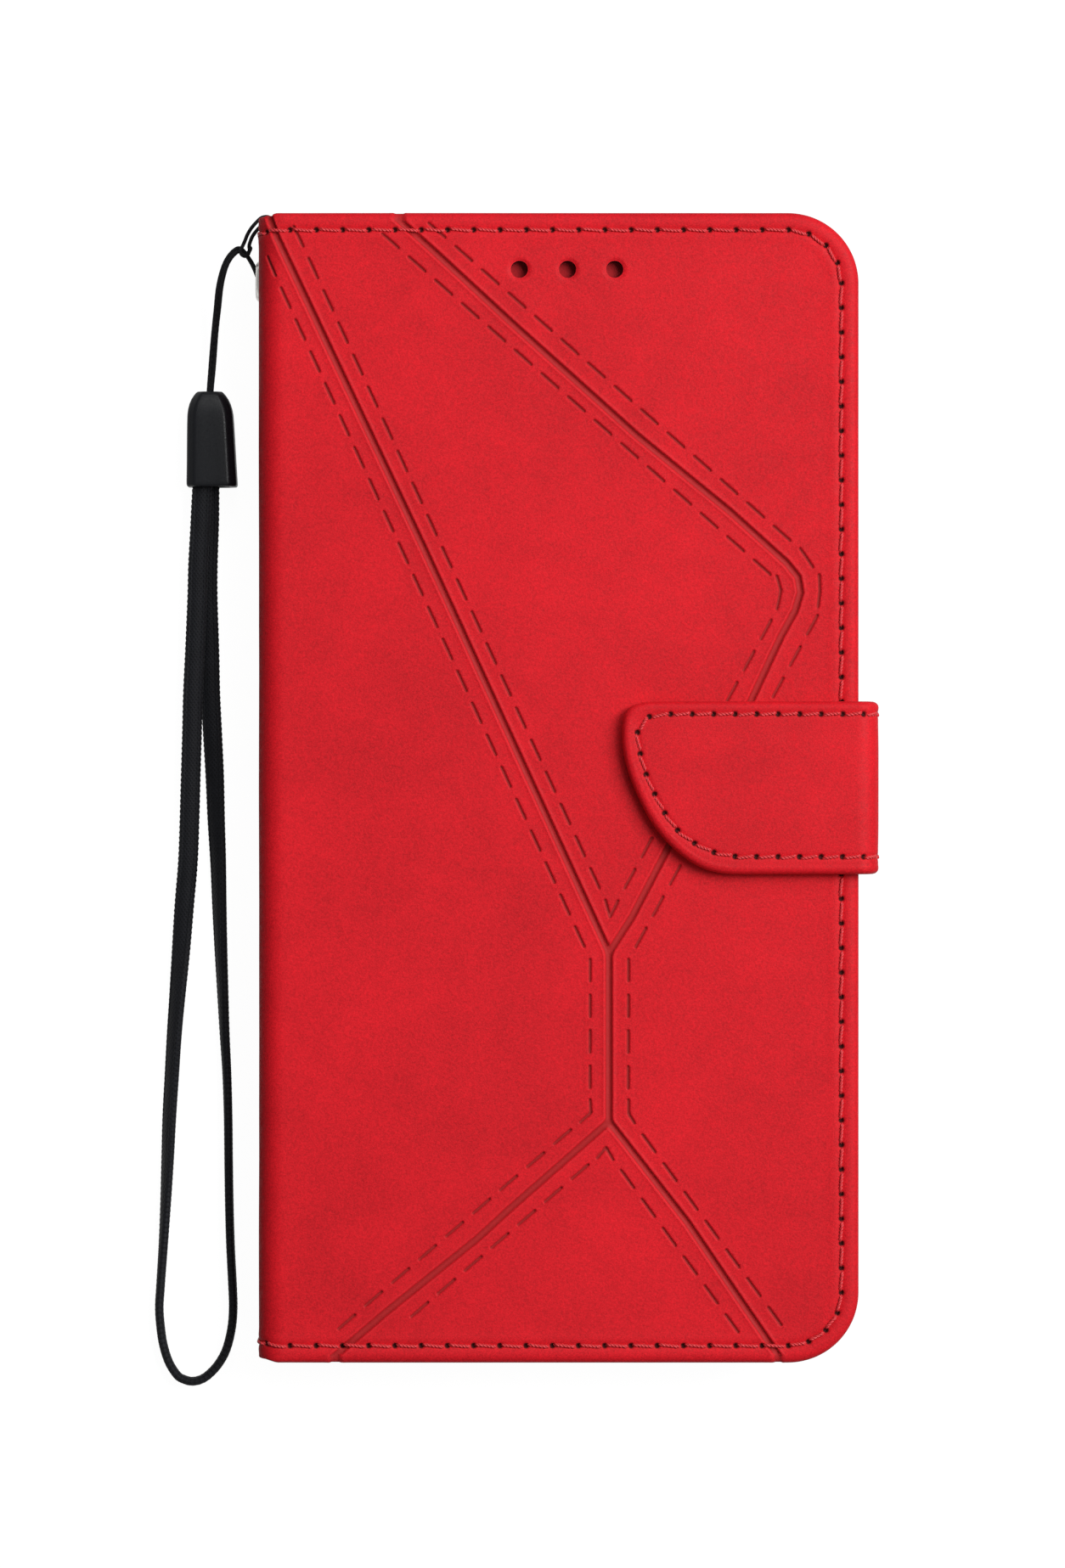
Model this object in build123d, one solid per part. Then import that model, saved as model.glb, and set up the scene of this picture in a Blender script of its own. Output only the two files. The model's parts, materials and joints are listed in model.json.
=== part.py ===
from build123d import *
import os
from math import hypot

# Folio phone wallet case with a closure strap and a corded wrist lanyard.
# The case lies flat on its back cover. Millimetres, +Z out of the front cover,
# +Y towards the top of the phone, spine at -X, closure strap at +X.
# Origin: centre of the back cover's rest face.
# A "span" is a (low, high) pair along one axis.


# ---------------------------------------------------------------- span helpers
def centred(middle, size):
    return (middle - size / 2, middle + size / 2)


def grow(span, amount):
    """Move both ends of a span outwards; a negative amount shrinks it."""
    return (span[0] - amount, span[1] + amount)


def mid(span):
    return (span[0] + span[1]) / 2


def size(span):
    return span[1] - span[0]


def above(span, thickness):
    """Next bonded layer on the high side of a span."""
    return (span[1] + GLUE_GAP, span[1] + GLUE_GAP + thickness)


def below(span, thickness):
    """Next bonded layer on the low side of a span."""
    return (span[0] - GLUE_GAP - thickness, span[0] - GLUE_GAP)


# --------------------------------------------------------------- driving sizes
CASE_W = 87.7            # spine to free edge
CASE_H = 168.0           # top to bottom
CASE_T = 17.6            # closed thickness without the strap
CORNER_R = 10.3          # free corners of both covers
SPINE_R = 3.5            # space the creases take at each side of the spine
LEATHER_T = 0.9
BOARD_T = 0.9
LINING_T = 0.5
GLUE_GAP = 0.05          # bonded layers stand this far apart
CREASE_GAP = 0.15        # half the slit at each crease
BOARD_INSET = 1.0        # cover boards, from the leather's edges
LINING_INSET = 0.4       # cover linings, from the leather's free edges
LINING_SPINE_INSET = 1.4
SEAM_INSET = 2.55        # cover edge to seam line
SEAM_SPINE_INSET = 0.6   # crease line to seam ends
SEAM_W = 0.6
SEAM_D = 0.4
THREAD_W = 0.5
THREAD_SUNK = 0.03       # thread below the leather's surface
THREAD_CLEAR = 0.05      # thread above the groove floor
STRAP_W = 25.2           # closure strap
STRAP_T = 2.7
STRAP_TOP_Y = 12.6
CORD_R = 0.55

SPINE_X = -CASE_W / 2    # spine outer face
FREE_X = CASE_W / 2      # free edge
CREASE_X = SPINE_X + SPINE_R
CASE_Y = centred(0, CASE_H)
STRAP_Y = (STRAP_TOP_Y - STRAP_W, STRAP_TOP_Y)

# Z spans of the cover layers, each cover from its outer face inwards
BACK_LEATHER_Z = (0, LEATHER_T)
BACK_BOARD_Z = above(BACK_LEATHER_Z, BOARD_T)
BACK_LINING_Z = above(BACK_BOARD_Z, LINING_T)
FRONT_LEATHER_Z = (CASE_T - LEATHER_T, CASE_T)
FRONT_BOARD_Z = below(FRONT_LEATHER_Z, BOARD_T)
FRONT_LINING_Z = below(FRONT_BOARD_Z, LINING_T)


# --------------------------------------------------------------- shape helpers
def rectangle(x_span, y_span):
    return Pos(mid(x_span), mid(y_span)) * Rectangle(size(x_span), size(y_span))


def round_side(face, side, radius):
    """Round the two corners at the low-X (0) or high-X (-1) side of a face."""
    return fillet(face.vertices().group_by(Axis.X)[side], radius)


def panel(x_span, y_span, z_span, free_r, spine_r=0.0):
    """Flat panel with rounded free-side corners and, if asked, rounded spine-side ones."""
    face = round_side(rectangle(x_span, y_span), -1, free_r)
    if spine_r > 0:
        face = round_side(face, 0, spine_r)
    return Pos(0, 0, z_span[0]) * extrude(face, size(z_span))


def box(x_span, y_span, z_span):
    return Pos(mid(x_span), mid(y_span), mid(z_span)) * Box(
        size(x_span), size(y_span), size(z_span))


def disc(radius, centre, z_span):
    """Upright cylinder at an (x, y) centre."""
    return Pos(centre[0], centre[1], mid(z_span)) * Cylinder(radius, size(z_span))


def outline(points):
    return make_face(Polyline(*points, close=True))


def cover_sheet(spine_inset, edge_inset, z_span):
    """Cover layer, set in from the crease line and from the other three edges."""
    return panel((CREASE_X + spine_inset, FREE_X - edge_inset), grow(CASE_Y, -edge_inset),
                 z_span, free_r=CORNER_R - edge_inset)


def cover_board(z_span):
    return cover_sheet(BOARD_INSET, BOARD_INSET, z_span)


def cover_lining(z_span):
    return cover_sheet(LINING_SPINE_INSET, LINING_INSET, z_span)


def cover_seam(width, z_span):
    """U-shaped seam: along the top edge, down the free edge and back along the bottom."""
    outer = cover_sheet(SEAM_SPINE_INSET, SEAM_INSET - width / 2, z_span)
    inner = cover_sheet(SEAM_SPINE_INSET - 5, SEAM_INSET + width / 2, grow(z_span, 1))
    return outer - inner


def thread_z(surface_z):
    """Z span of a thread in a groove cut down from an upper surface."""
    return (surface_z - SEAM_D + THREAD_CLEAR, surface_z - THREAD_SUNK)


# ------------------------------------------------------------------ back cover
CAMERA_X = centred(20.0, 33.0)
CAMERA_Y = centred(58.0, 36.0)
CAMERA_R = 7
TONGUE_X = 24.0          # inner end of the strap's stitched-in tongue


def camera_hole():
    """Cutter through the back cover and the tray floor."""
    return panel(CAMERA_X, CAMERA_Y, (-1, 5), free_r=CAMERA_R, spine_r=CAMERA_R)


def back_leather():
    sheet = cover_sheet(CREASE_GAP, 0, BACK_LEATHER_Z) - camera_hole()
    return sheet - cover_seam(SEAM_W, (-0.1, SEAM_D))


def back_board():
    # pocket in the free edge for the strap's tongue
    tongue_pocket = box((TONGUE_X - 0.2, FREE_X + 1), grow(STRAP_Y, -0.8),
                        grow(BACK_BOARD_Z, 1))
    return cover_board(BACK_BOARD_Z) - camera_hole() - tongue_pocket


def back_lining():
    return cover_lining(BACK_LINING_Z) - camera_hole()


def back_seam_thread():
    return cover_seam(THREAD_W, (THREAD_SUNK, SEAM_D - THREAD_CLEAR))


def closure_anchor_tongue():
    return box((TONGUE_X, FREE_X - 0.05), grow(STRAP_Y, -1.0), grow(BACK_BOARD_Z, -0.02))


# ------------------------------------------------------------------ phone tray
PHONE_W = 78.2           # phone bay
PHONE_H = 161.2
PHONE_T = 8.2
BAY_R = 8.3
TRAY_WALL = 1.3
TRAY_FLOOR = 1.2
TRAY_X = 0.4             # tray centre
LIP_T = 0.6
LIP_IN = 0.9             # lip overhang inside the bay

FLOOR_Z = above(BACK_LINING_Z, TRAY_FLOOR)
BAY_X_SPAN = centred(TRAY_X, PHONE_W)
BAY_Y_SPAN = centred(0, PHONE_H)
BAY_Z_SPAN = (FLOOR_Z[1], FLOOR_Z[1] + PHONE_T)

# free-edge wall: Y spans of the side key and volume key openings
KEY_OPENINGS = [(8.0, 24.0), (30.0, 54.0)]
KEY_OPENING_H = 4.0
# bottom wall, charging port and two speaker slots: X from tray centre, width, height
BOTTOM_OPENINGS = [(0, 13.0, 6.4), (-20.0, 14.0, 2.4), (20.0, 14.0, 2.4)]


def phone_tray():
    """Moulded elastomer shell that clips round the phone."""
    tray_x, tray_y = grow(BAY_X_SPAN, TRAY_WALL), grow(BAY_Y_SPAN, TRAY_WALL)
    bay_top, bay_mid = BAY_Z_SPAN[1], mid(BAY_Z_SPAN)
    outer_r, lip_r = BAY_R + TRAY_WALL, BAY_R - LIP_IN
    tray = panel(tray_x, tray_y, (FLOOR_Z[0], bay_top + LIP_T), free_r=outer_r, spine_r=outer_r)
    tray -= panel(BAY_X_SPAN, BAY_Y_SPAN, BAY_Z_SPAN, free_r=BAY_R, spine_r=BAY_R)
    tray -= panel(grow(BAY_X_SPAN, -LIP_IN), grow(BAY_Y_SPAN, -LIP_IN),
                  (bay_top - 0.5, bay_top + 2), free_r=lip_r, spine_r=lip_r)
    tray -= camera_hole()
    for y_span in KEY_OPENINGS:
        tray -= box((BAY_X_SPAN[1] - 1, tray_x[1] + 1), y_span, centred(bay_mid, KEY_OPENING_H))
    for x, width, height in BOTTOM_OPENINGS:
        tray -= box(centred(TRAY_X + x, width), (tray_y[0] - 1, BAY_Y_SPAN[0] + 1),
                    centred(bay_mid, height))
    # shallow heat-relief panel moulded in the floor
    tray -= panel((-26, 26), (-62, 24), (FLOOR_Z[1] - 0.3, FLOOR_Z[1] + 0.5),
                  free_r=6, spine_r=6)
    return tray


# ------------------------------------------------------------ spine and eyelet
EYELET_Y = 74.6
EYELET_Z = CASE_T / 2
FLANGE_R = 3.0
BARREL_R = 2.3
BORE_R = 1.8
BARREL_CLEAR = 0.05

# X spans of the spine layers, from the outer face inwards
SPINE_LEATHER_X = (SPINE_X, SPINE_X + LEATHER_T)
SPINE_BOARD_X = above(SPINE_LEATHER_X, 0.7)
SPINE_LINING_X = above(SPINE_BOARD_X, 0.4)
WASHER_X = above(SPINE_LINING_X, 0.3)


def eyelet_disc(radius, x_span):
    """Cylinder along X on the eyelet's axis."""
    return Pos(mid(x_span), EYELET_Y, EYELET_Z) * Rot(0, 90, 0) * Cylinder(radius, size(x_span))


def cut_for_cord(layer):
    """Cut the eyelet hole, and the relief at the spine's top end where the cord passes over."""
    hole = eyelet_disc(BARREL_R + BARREL_CLEAR, (SPINE_X - 3, SPINE_X + 5))
    notch = box((SPINE_X - 1, -40.0), (81.9, CASE_Y[1] + 1), centred(EYELET_Z, 3.5))
    return layer - hole - notch


def spine_leather():
    """C-shaped skin open towards +X, its arms ending at the creases."""
    arm_x = CREASE_X - CREASE_GAP
    outer_r = SPINE_R - CREASE_GAP - 0.05
    outer = rectangle((SPINE_X, arm_x), (0, CASE_T))
    outer = round_side(outer, 0, outer_r)
    inner = rectangle((SPINE_X + LEATHER_T, arm_x + 2), (LEATHER_T, CASE_T - LEATHER_T))
    inner = round_side(inner, 0, outer_r - LEATHER_T)
    # the sketch's Y axis becomes the case's Z axis, and the extrusion runs along Y
    skin = Pos(0, CASE_Y[1], 0) * Rot(90, 0, 0) * extrude(outer - inner, CASE_H)
    return cut_for_cord(skin)


def spine_board():
    return cut_for_cord(box(SPINE_BOARD_X, grow(CASE_Y, -2), (SPINE_R, CASE_T - SPINE_R)))


def spine_lining():
    return cut_for_cord(box(SPINE_LINING_X, grow(CASE_Y, -1), (1.6, CASE_T - 1.6)))


def eyelet():
    """Rolled flange outside the spine, with a barrel through all its layers."""
    flange = eyelet_disc(FLANGE_R, (SPINE_X - 0.65, SPINE_X - 0.05))
    flange = fillet(flange.edges().group_by(Axis.X)[0], 0.28)
    barrel = eyelet_disc(BARREL_R, (SPINE_X - 0.5, SPINE_LINING_X[1] + 0.45))
    return flange + barrel - eyelet_disc(BORE_R, (SPINE_X - 4, SPINE_X + 6))


def eyelet_washer():
    return eyelet_disc(FLANGE_R + 0.2, WASHER_X) - eyelet_disc(
        BARREL_R + BARREL_CLEAR, grow(WASHER_X, 1))


# ----------------------------------------------------------------- front cover
EARPIECE_R = 1.25
EARPIECE_X = (-5.68, 1.35, 8.23)
EARPIECE_Y = 75.7
CATCH = (17.2, 1.0)      # x, y of the catch plate and the flap magnet
CATCH_R = 7.0
EMBOSS_W = 1.0
EMBOSS_D = 0.3
EMBOSS_STEP = 0.011      # each line is this much deeper, so that no two floors coincide

# centre lines of the embossed pattern: x, y
EMBOSS_LINES = [
    [(-38.6, 75.0), (-19.7, 35.0), (-0.74, -6.4), (6.9, -23.2)],
    [(-20.6, 80.4), (-18.1, 78.2), (-7.0, 68.0), (11.5, 51.4), (25.1, 40.2), (33.3, 32.8),
     (34.9, 30.8), (35.3, 28.5), (34.5, 25.8), (32.5, 22.1), (28.2, 12.9), (15.9, -8.8),
     (10.8, -18.8), (8.1, -23.2)],
    [(7.37, -23.4), (7.37, -48.0)],
    [(6.7, -49.4), (-7.1, -61.5), (-12.0, -65.9), (-25.0, -76.4), (-29.6, -80.4)],
    [(7.9, -49.5), (18.8, -63.4), (25.9, -73.9), (30.3, -80.3)],
]


def earpiece_holes(radius, z_span):
    """The three earpiece holes as cutters, through a layer."""
    first, second, third = (disc(radius, (x, EARPIECE_Y), grow(z_span, 1)) for x in EARPIECE_X)
    return first + second + third


def ribbon(line):
    """Face of the embossing width that follows a centre line."""
    left, right = [], []
    for n, (x, y) in enumerate(line):
        # direction at a point, taken from its two neighbours
        before, after = line[max(n - 1, 0)], line[min(n + 1, len(line) - 1)]
        step_x, step_y = after[0] - before[0], after[1] - before[1]
        length = hypot(step_x, step_y)
        side_x = step_y / length * EMBOSS_W / 2
        side_y = step_x / length * EMBOSS_W / 2
        left.append((x - side_x, y + side_y))
        right.append((x + side_x, y - side_y))
    return outline(left + right[::-1])


def front_leather():
    leather = cover_sheet(CREASE_GAP, 0, FRONT_LEATHER_Z)
    leather -= earpiece_holes(EARPIECE_R, FRONT_LEATHER_Z)
    leather -= cover_seam(SEAM_W, (CASE_T - SEAM_D, CASE_T + 0.1))
    for k, line in enumerate(EMBOSS_LINES):
        floor_z = CASE_T - EMBOSS_D - EMBOSS_STEP * k
        leather -= Pos(0, 0, floor_z) * extrude(ribbon(line), 1.0)
    return leather


def front_board():
    board = cover_board(FRONT_BOARD_Z) - disc(CATCH_R + 0.2, CATCH, grow(FRONT_BOARD_Z, 0.5))
    return board - earpiece_holes(EARPIECE_R + 0.3, FRONT_BOARD_Z)


def front_catch_plate():
    return disc(CATCH_R, CATCH, grow(FRONT_BOARD_Z, -0.05))


def front_lining():
    return cover_lining(FRONT_LINING_Z) - earpiece_holes(EARPIECE_R, FRONT_LINING_Z)


def front_seam_thread():
    return cover_seam(THREAD_W, thread_z(CASE_T))


# --------------------------------------------- pockets inside the front cover
CASH_POCKET_Z = below(FRONT_LINING_Z, LINING_T)
CARD_POCKET_X = -26.0    # spine-side edge of the first card pocket
CARD_POCKET_STEP = 10.0
CARD_POCKET_Y = (-60.0, 34.0)
THUMB_NOTCH_R = 9.0


def pocket(x, y_span, z_span):
    return panel((x, FREE_X - 3.0), y_span, z_span, free_r=4.0)


def cash_pocket():
    return pocket(-33.0, (-78.0, 66.0), CASH_POCKET_Z)


def card_pockets():
    """Three notched pockets over the cash pocket, stepped towards the free edge."""
    pockets = {}
    z_span = CASH_POCKET_Z
    for k, name in enumerate(("back", "middle", "front")):
        x = CARD_POCKET_X + CARD_POCKET_STEP * k
        z_span = below(z_span, LINING_T)
        notch = disc(THUMB_NOTCH_R, (x, mid(CARD_POCKET_Y)), grow(z_span, 1))
        pockets[f"card_pocket_{name}"] = pocket(x, CARD_POCKET_Y, z_span) - notch
    return pockets


# --------------------------------------------------------------- closure strap
STRAP_X = (FREE_X + 0.12, FREE_X + 0.12 + STRAP_T)
STRAP_LINING_X = (STRAP_X[0], STRAP_X[0] + 0.7)
STRAP_OUTER_X = (STRAP_LINING_X[1] + GLUE_GAP, STRAP_X[1])
STRAP_SIDE_Z = (2.8, CASE_T + 0.02)

FLAP_Z = (CASE_T + 0.1, CASE_T + 0.1 + STRAP_T)
FLAP_LINING_Z = (FLAP_Z[0], FLAP_Z[0] + 0.5)
FLAP_CORE_Z = above(FLAP_LINING_Z, 1.15)
FLAP_OUTER_Z = (FLAP_CORE_Z[1] + GLUE_GAP, FLAP_Z[1])
FLAP_BLANK_X = 60        # the outline runs on to here before it is cut square
FLAP_SEAM_INSET = 2.0
MAGNET_R = 6.0
MAGNET_T = 1.0

# rounded tip of the flap: x, y; the first and last points only steer the curve
FLAP_TIP = [
    (17.6, 12.6), (14.4, 12.55), (11.6, 11.5), (9.85, 9.4), (9.35, 6.3), (10.3, 2.1),
    (12.4, -2.7), (15.4, -7.8), (19.5, -11.4), (24.2, -12.58), (28.0, -12.6)]


def strap_side_outer():
    side = box(STRAP_OUTER_X, STRAP_Y, STRAP_SIDE_Z)
    return fillet(side.edges().filter_by(Axis.Z).group_by(Axis.X)[-1], 0.9)


def strap_side_lining():
    return box(STRAP_LINING_X, STRAP_Y, STRAP_SIDE_Z)


def smooth(points, steps):
    """Points on a Catmull-Rom curve through the inner points given."""
    curve = []
    for k in range(1, len(points) - 2):
        for n in range(steps):
            t = n / steps
            curve.append(tuple(
                0.5 * (2 * b + (c - a) * t + (2 * a - 5 * b + 4 * c - d) * t * t
                       + (3 * b - a - 3 * c + d) * t ** 3)
                for a, b, c, d in zip(*points[k - 1:k + 3])))
    curve.append(points[-2])
    return curve


def flap_slab(inset, end_x, z_span):
    """Slab with the flap's outline moved inwards by inset and cut off square at end_x."""
    low_y, high_y = STRAP_Y
    tip = smooth(FLAP_TIP, 4)
    face = outline([(FLAP_BLANK_X, high_y), (tip[0][0] + 1.5, high_y)] + tip
                   + [(tip[-1][0] + 1.5, low_y), (FLAP_BLANK_X, low_y)])
    if inset > 0:
        face = offset(face, amount=-inset, kind=Kind.INTERSECTION)
    slab = Pos(0, 0, z_span[0]) * extrude(face.faces()[0], size(z_span))
    return slab - box((end_x, 80), (-40, 40), grow(z_span, 1))


def flap_seam(width, end_x, z_span):
    """Seam round the flap's outline, open at the strap's bend."""
    return flap_slab(FLAP_SEAM_INSET - width / 2, end_x, z_span) - flap_slab(
        FLAP_SEAM_INSET + width / 2, STRAP_X[1] + 2.0, grow(z_span, 1))


def flap_outer():
    flap = flap_slab(0, STRAP_X[1], FLAP_OUTER_Z)
    bend_edge = flap.edges().filter_by(Axis.Y).group_by(Axis.X)[-1].group_by(Axis.Z)[-1]
    flap = fillet(bend_edge, 0.7)
    return flap - flap_seam(SEAM_W, STRAP_X[1] - 2.0, (FLAP_Z[1] - SEAM_D, FLAP_Z[1] + 1))


def flap_core():
    core = flap_slab(1.2, STRAP_X[1] - 1.2, FLAP_CORE_Z)
    return core - disc(MAGNET_R + 0.15, CATCH, grow(FLAP_CORE_Z, 1))


def flap_lining():
    return flap_slab(0.15, STRAP_X[1] - 0.9, FLAP_LINING_Z)


def flap_magnet():
    return disc(MAGNET_R, CATCH, centred(mid(FLAP_CORE_Z), MAGNET_T))


def flap_seam_thread():
    return flap_seam(THREAD_W, STRAP_X[1] - 2.1, thread_z(FLAP_Z[1]))


# --------------------------------------------------------------------- lanyard
KNOT_X, KNOT_Y = -45.75, 78.35
STRAND_X = -40.72        # strand centre inside the spine
STRAND_BEND_R = 0.95
# the two hitch strands: Z from the eyelet's axis, Y where the strand crosses the spine's top end
HITCH_STRANDS = [(-0.58, 82.5), (0.58, 83.3)]

# tail cord from the knot down to the bead: x, y, z
CORD_PATH = [
    (-47.0, 79.0, 8.75), (-48.25, 78.3, 8.6), (-49.25, 76.4, 7.9), (-49.99, 73.75, 6.5),
    (-50.5, 70.0, 4.85), (-50.89, 66.42, 3.75), (-51.3, 62.4, 3.1), (-51.58, 58.95, 2.95)]

# bead sections from the cord end down: x, y, width, depth, corner radius
BEAD_Z = 2.95
BEAD_SECTIONS = [
    (-51.6, 58.75, 3.9, 3.2, 1.0),
    (-51.58, 57.6, 5.9, 4.6, 1.3),
    (-51.5, 55.4, 6.8, 5.3, 1.4),
    (-51.25, 44.6, 7.5, 5.6, 1.4),
]

STRAP_LOOP_Z = (0.3, 3.9)
# outer outline of the wrist strap: x, y
LOOP_OUTER = [
    (-53.95, 42.6), (-54.57, 40.08), (-54.95, 33.15), (-55.08, 28.1), (-55.39, 20.54),
    (-55.71, 14.24), (-55.83, 7.93), (-56.02, 1.63), (-56.21, -4.67), (-56.46, -10.98),
    (-56.97, -17.28), (-57.34, -23.58), (-57.6, -29.89), (-58.1, -36.19), (-58.48, -42.49),
    (-58.86, -48.8), (-58.98, -55.1), (-59.11, -61.4), (-59.36, -67.71), (-59.7, -74.01),
    (-59.87, -77.29), (-59.61, -80.31), (-59.24, -82.83), (-58.73, -84.72), (-58.1, -86.11),
    (-57.09, -87.75), (-55.83, -88.51), (-54.37, -88.81), (-52.81, -88.51), (-51.8, -87.88),
    (-50.79, -86.99), (-49.78, -85.86), (-49.02, -84.6), (-48.39, -82.96), (-47.89, -80.31),
    (-47.64, -77.29), (-47.76, -74.01), (-48.02, -67.71), (-48.14, -61.4), (-48.2, -55.1),
    (-48.27, -48.8), (-48.39, -42.49), (-48.65, -36.19), (-48.84, -29.89), (-49.02, -23.58),
    (-49.15, -17.28), (-49.21, -10.98), (-49.4, -4.67), (-49.59, 1.63), (-49.84, 7.93),
    (-50.16, 14.24), (-50.28, 20.54), (-50.54, 28.1), (-50.54, 33.15), (-50.28, 39.45),
    (-50.25, 42.6)]
# opening inside the wrist strap: x, y
LOOP_INNER = [
    (-52.68, 5.0), (-52.93, 1.63), (-53.12, -4.67), (-53.37, -10.98), (-53.94, -17.28),
    (-54.51, -23.58), (-55.26, -29.89), (-55.77, -36.19), (-56.15, -42.49), (-56.52, -48.8),
    (-56.9, -55.1), (-57.34, -61.4), (-57.79, -67.71), (-58.29, -74.01), (-58.48, -77.29),
    (-58.29, -80.31), (-57.85, -82.83), (-57.22, -84.72), (-56.52, -85.99), (-55.45, -87.12),
    (-54.26, -87.47), (-53.06, -87.18), (-51.42, -85.86), (-50.41, -84.35), (-49.72, -82.83),
    (-49.02, -80.31), (-48.77, -77.29), (-48.84, -74.01), (-49.21, -67.71), (-49.44, -61.4),
    (-49.57, -55.1), (-49.65, -48.8), (-49.91, -42.49), (-50.35, -36.19), (-50.73, -29.89),
    (-51.1, -23.58), (-51.42, -17.28), (-51.73, -10.98), (-52.11, -4.67), (-52.36, 1.63)]


def cord_section(wire):
    return Plane(origin=wire @ 0, z_dir=wire % 0) * Circle(CORD_R)


def hitch_strand(z_offset, top_y):
    """Strand from the knot through the eyelet, up inside the spine and back over its top end."""
    z = EYELET_Z + z_offset
    bend = STRAND_BEND_R
    bend_x = STRAND_X - bend
    with BuildLine() as path:
        Spline((KNOT_X + 0.05, KNOT_Y - 0.3, z), (-45.3, 76.5, z),
               (-44.75, EYELET_Y + 0.35, z), (-43.2, EYELET_Y, z),
               tangents=((0.45, -1, 0), (1, 0, 0)))
        Line((-43.2, EYELET_Y, z), (bend_x, EYELET_Y, z))
        RadiusArc((bend_x, EYELET_Y, z), (STRAND_X, EYELET_Y + bend, z), -bend)
        Line((STRAND_X, EYELET_Y + bend, z), (STRAND_X, top_y - bend, z))
        RadiusArc((STRAND_X, top_y - bend, z), (bend_x, top_y, z), -bend)
        Line((bend_x, top_y, z), (-43.5, top_y, z))
        Spline((-43.5, top_y, z), (-44.8, top_y - 0.7, z), (KNOT_X + 0.1, KNOT_Y + 0.4, z),
               tangents=((-1, 0, 0), (-0.22, -1, 0)))
    wire = path.wire()
    return sweep(cord_section(wire), path=wire, transition=Transition.ROUND)


def lanyard_hitch():
    lower, upper = (hitch_strand(*strand) for strand in HITCH_STRANDS)
    return lower + upper


def lanyard_cord():
    with BuildLine() as path:
        Spline(*CORD_PATH)
    wire = path.wire()
    return sweep(cord_section(wire), path=wire)


def lanyard_bead():
    return loft([
        Plane(origin=(x, y, BEAD_Z), x_dir=(1, 0, 0), z_dir=(0, -1, 0))
        * RectangleRounded(width, depth, radius)
        for x, y, width, depth, radius in BEAD_SECTIONS
    ], ruled=True)


def wrist_strap():
    """Webbing loop with a round end just below the bead."""
    loop = extrude(Pos(0, 0, STRAP_LOOP_Z[0]) * outline(LOOP_OUTER), size(STRAP_LOOP_Z))
    loop += disc(1.85, (-52.1, 42.6), STRAP_LOOP_Z)
    return loop - extrude(Pos(0, 0, -1) * outline(LOOP_INNER), 6)


# --------------------------------------------------------------------- exports
PIECES = (
    back_leather, back_board, back_lining, back_seam_thread, closure_anchor_tongue, phone_tray,
    spine_leather, spine_board, spine_lining, eyelet, eyelet_washer, lanyard_hitch,
    front_leather, front_board, front_catch_plate, front_lining, front_seam_thread, cash_pocket,
    strap_side_outer, strap_side_lining, flap_outer, flap_core, flap_lining, flap_magnet,
    flap_seam_thread, lanyard_cord, lanyard_bead, wrist_strap)

# each file takes the name of the function that makes its piece
parts = {piece.__name__: piece() for piece in PIECES} | card_pockets()

os.makedirs("parts", exist_ok=True)
for name, shape in parts.items():
    export_step(shape, f"parts/{name}.step")
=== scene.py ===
import bpy, math, json
import numpy as np
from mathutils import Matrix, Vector
from mathutils.geometry import delaunay_2d_cdt

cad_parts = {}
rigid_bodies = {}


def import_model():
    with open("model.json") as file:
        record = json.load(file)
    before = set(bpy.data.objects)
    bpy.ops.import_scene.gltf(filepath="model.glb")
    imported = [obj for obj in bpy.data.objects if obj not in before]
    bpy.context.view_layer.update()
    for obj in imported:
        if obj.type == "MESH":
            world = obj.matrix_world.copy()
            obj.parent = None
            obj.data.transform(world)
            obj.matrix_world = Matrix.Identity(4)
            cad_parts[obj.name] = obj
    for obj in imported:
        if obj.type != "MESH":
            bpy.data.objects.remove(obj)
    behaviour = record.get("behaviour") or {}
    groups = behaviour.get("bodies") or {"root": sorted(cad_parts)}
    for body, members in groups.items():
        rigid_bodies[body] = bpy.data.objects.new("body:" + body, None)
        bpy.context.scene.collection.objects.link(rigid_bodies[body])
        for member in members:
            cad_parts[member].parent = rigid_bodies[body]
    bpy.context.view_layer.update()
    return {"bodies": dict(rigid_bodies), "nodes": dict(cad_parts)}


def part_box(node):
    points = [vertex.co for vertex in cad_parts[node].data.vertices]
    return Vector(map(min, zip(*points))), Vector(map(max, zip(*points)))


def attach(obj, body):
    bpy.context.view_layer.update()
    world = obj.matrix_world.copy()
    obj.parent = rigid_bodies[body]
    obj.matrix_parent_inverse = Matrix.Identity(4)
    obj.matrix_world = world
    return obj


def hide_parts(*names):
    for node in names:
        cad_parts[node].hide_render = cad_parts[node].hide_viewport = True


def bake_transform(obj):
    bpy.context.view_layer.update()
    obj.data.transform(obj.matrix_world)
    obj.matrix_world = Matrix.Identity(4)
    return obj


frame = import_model()
MM = 0.001
PI = math.pi

# ------------------------------------------------------------------ frame sizes, in millimetres, from the CAD boxes
def mmbox(node):
    lo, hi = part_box(node)
    return [v * 1000 for v in lo], [v * 1000 for v in hi]

fl_lo, fl_hi = mmbox("front_leather")
sp_lo, sp_hi = mmbox("spine_leather")
fp_lo, fp_hi = mmbox("flap_outer")
ss_lo, ss_hi = mmbox("strap_side_outer")
ey_lo, ey_hi = mmbox("eyelet")
bd_lo, bd_hi = mmbox("lanyard_bead")
T = fl_hi[2]                    # closed thickness
X0, X1 = sp_lo[0], fl_hi[0]     # spine face, free edge
HY = fl_hi[1]
R = 3.5                         # bend radius of the spine
XC = X0 + R                     # crease line
CR = 10.3                       # corner radius
TH = 2.3                        # cover thickness: leather, board, turned edge
S_MID = PI * R / 2 + T / 2 - R  # arc length from crease to mid spine
P_MID = XC - S_MID

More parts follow.
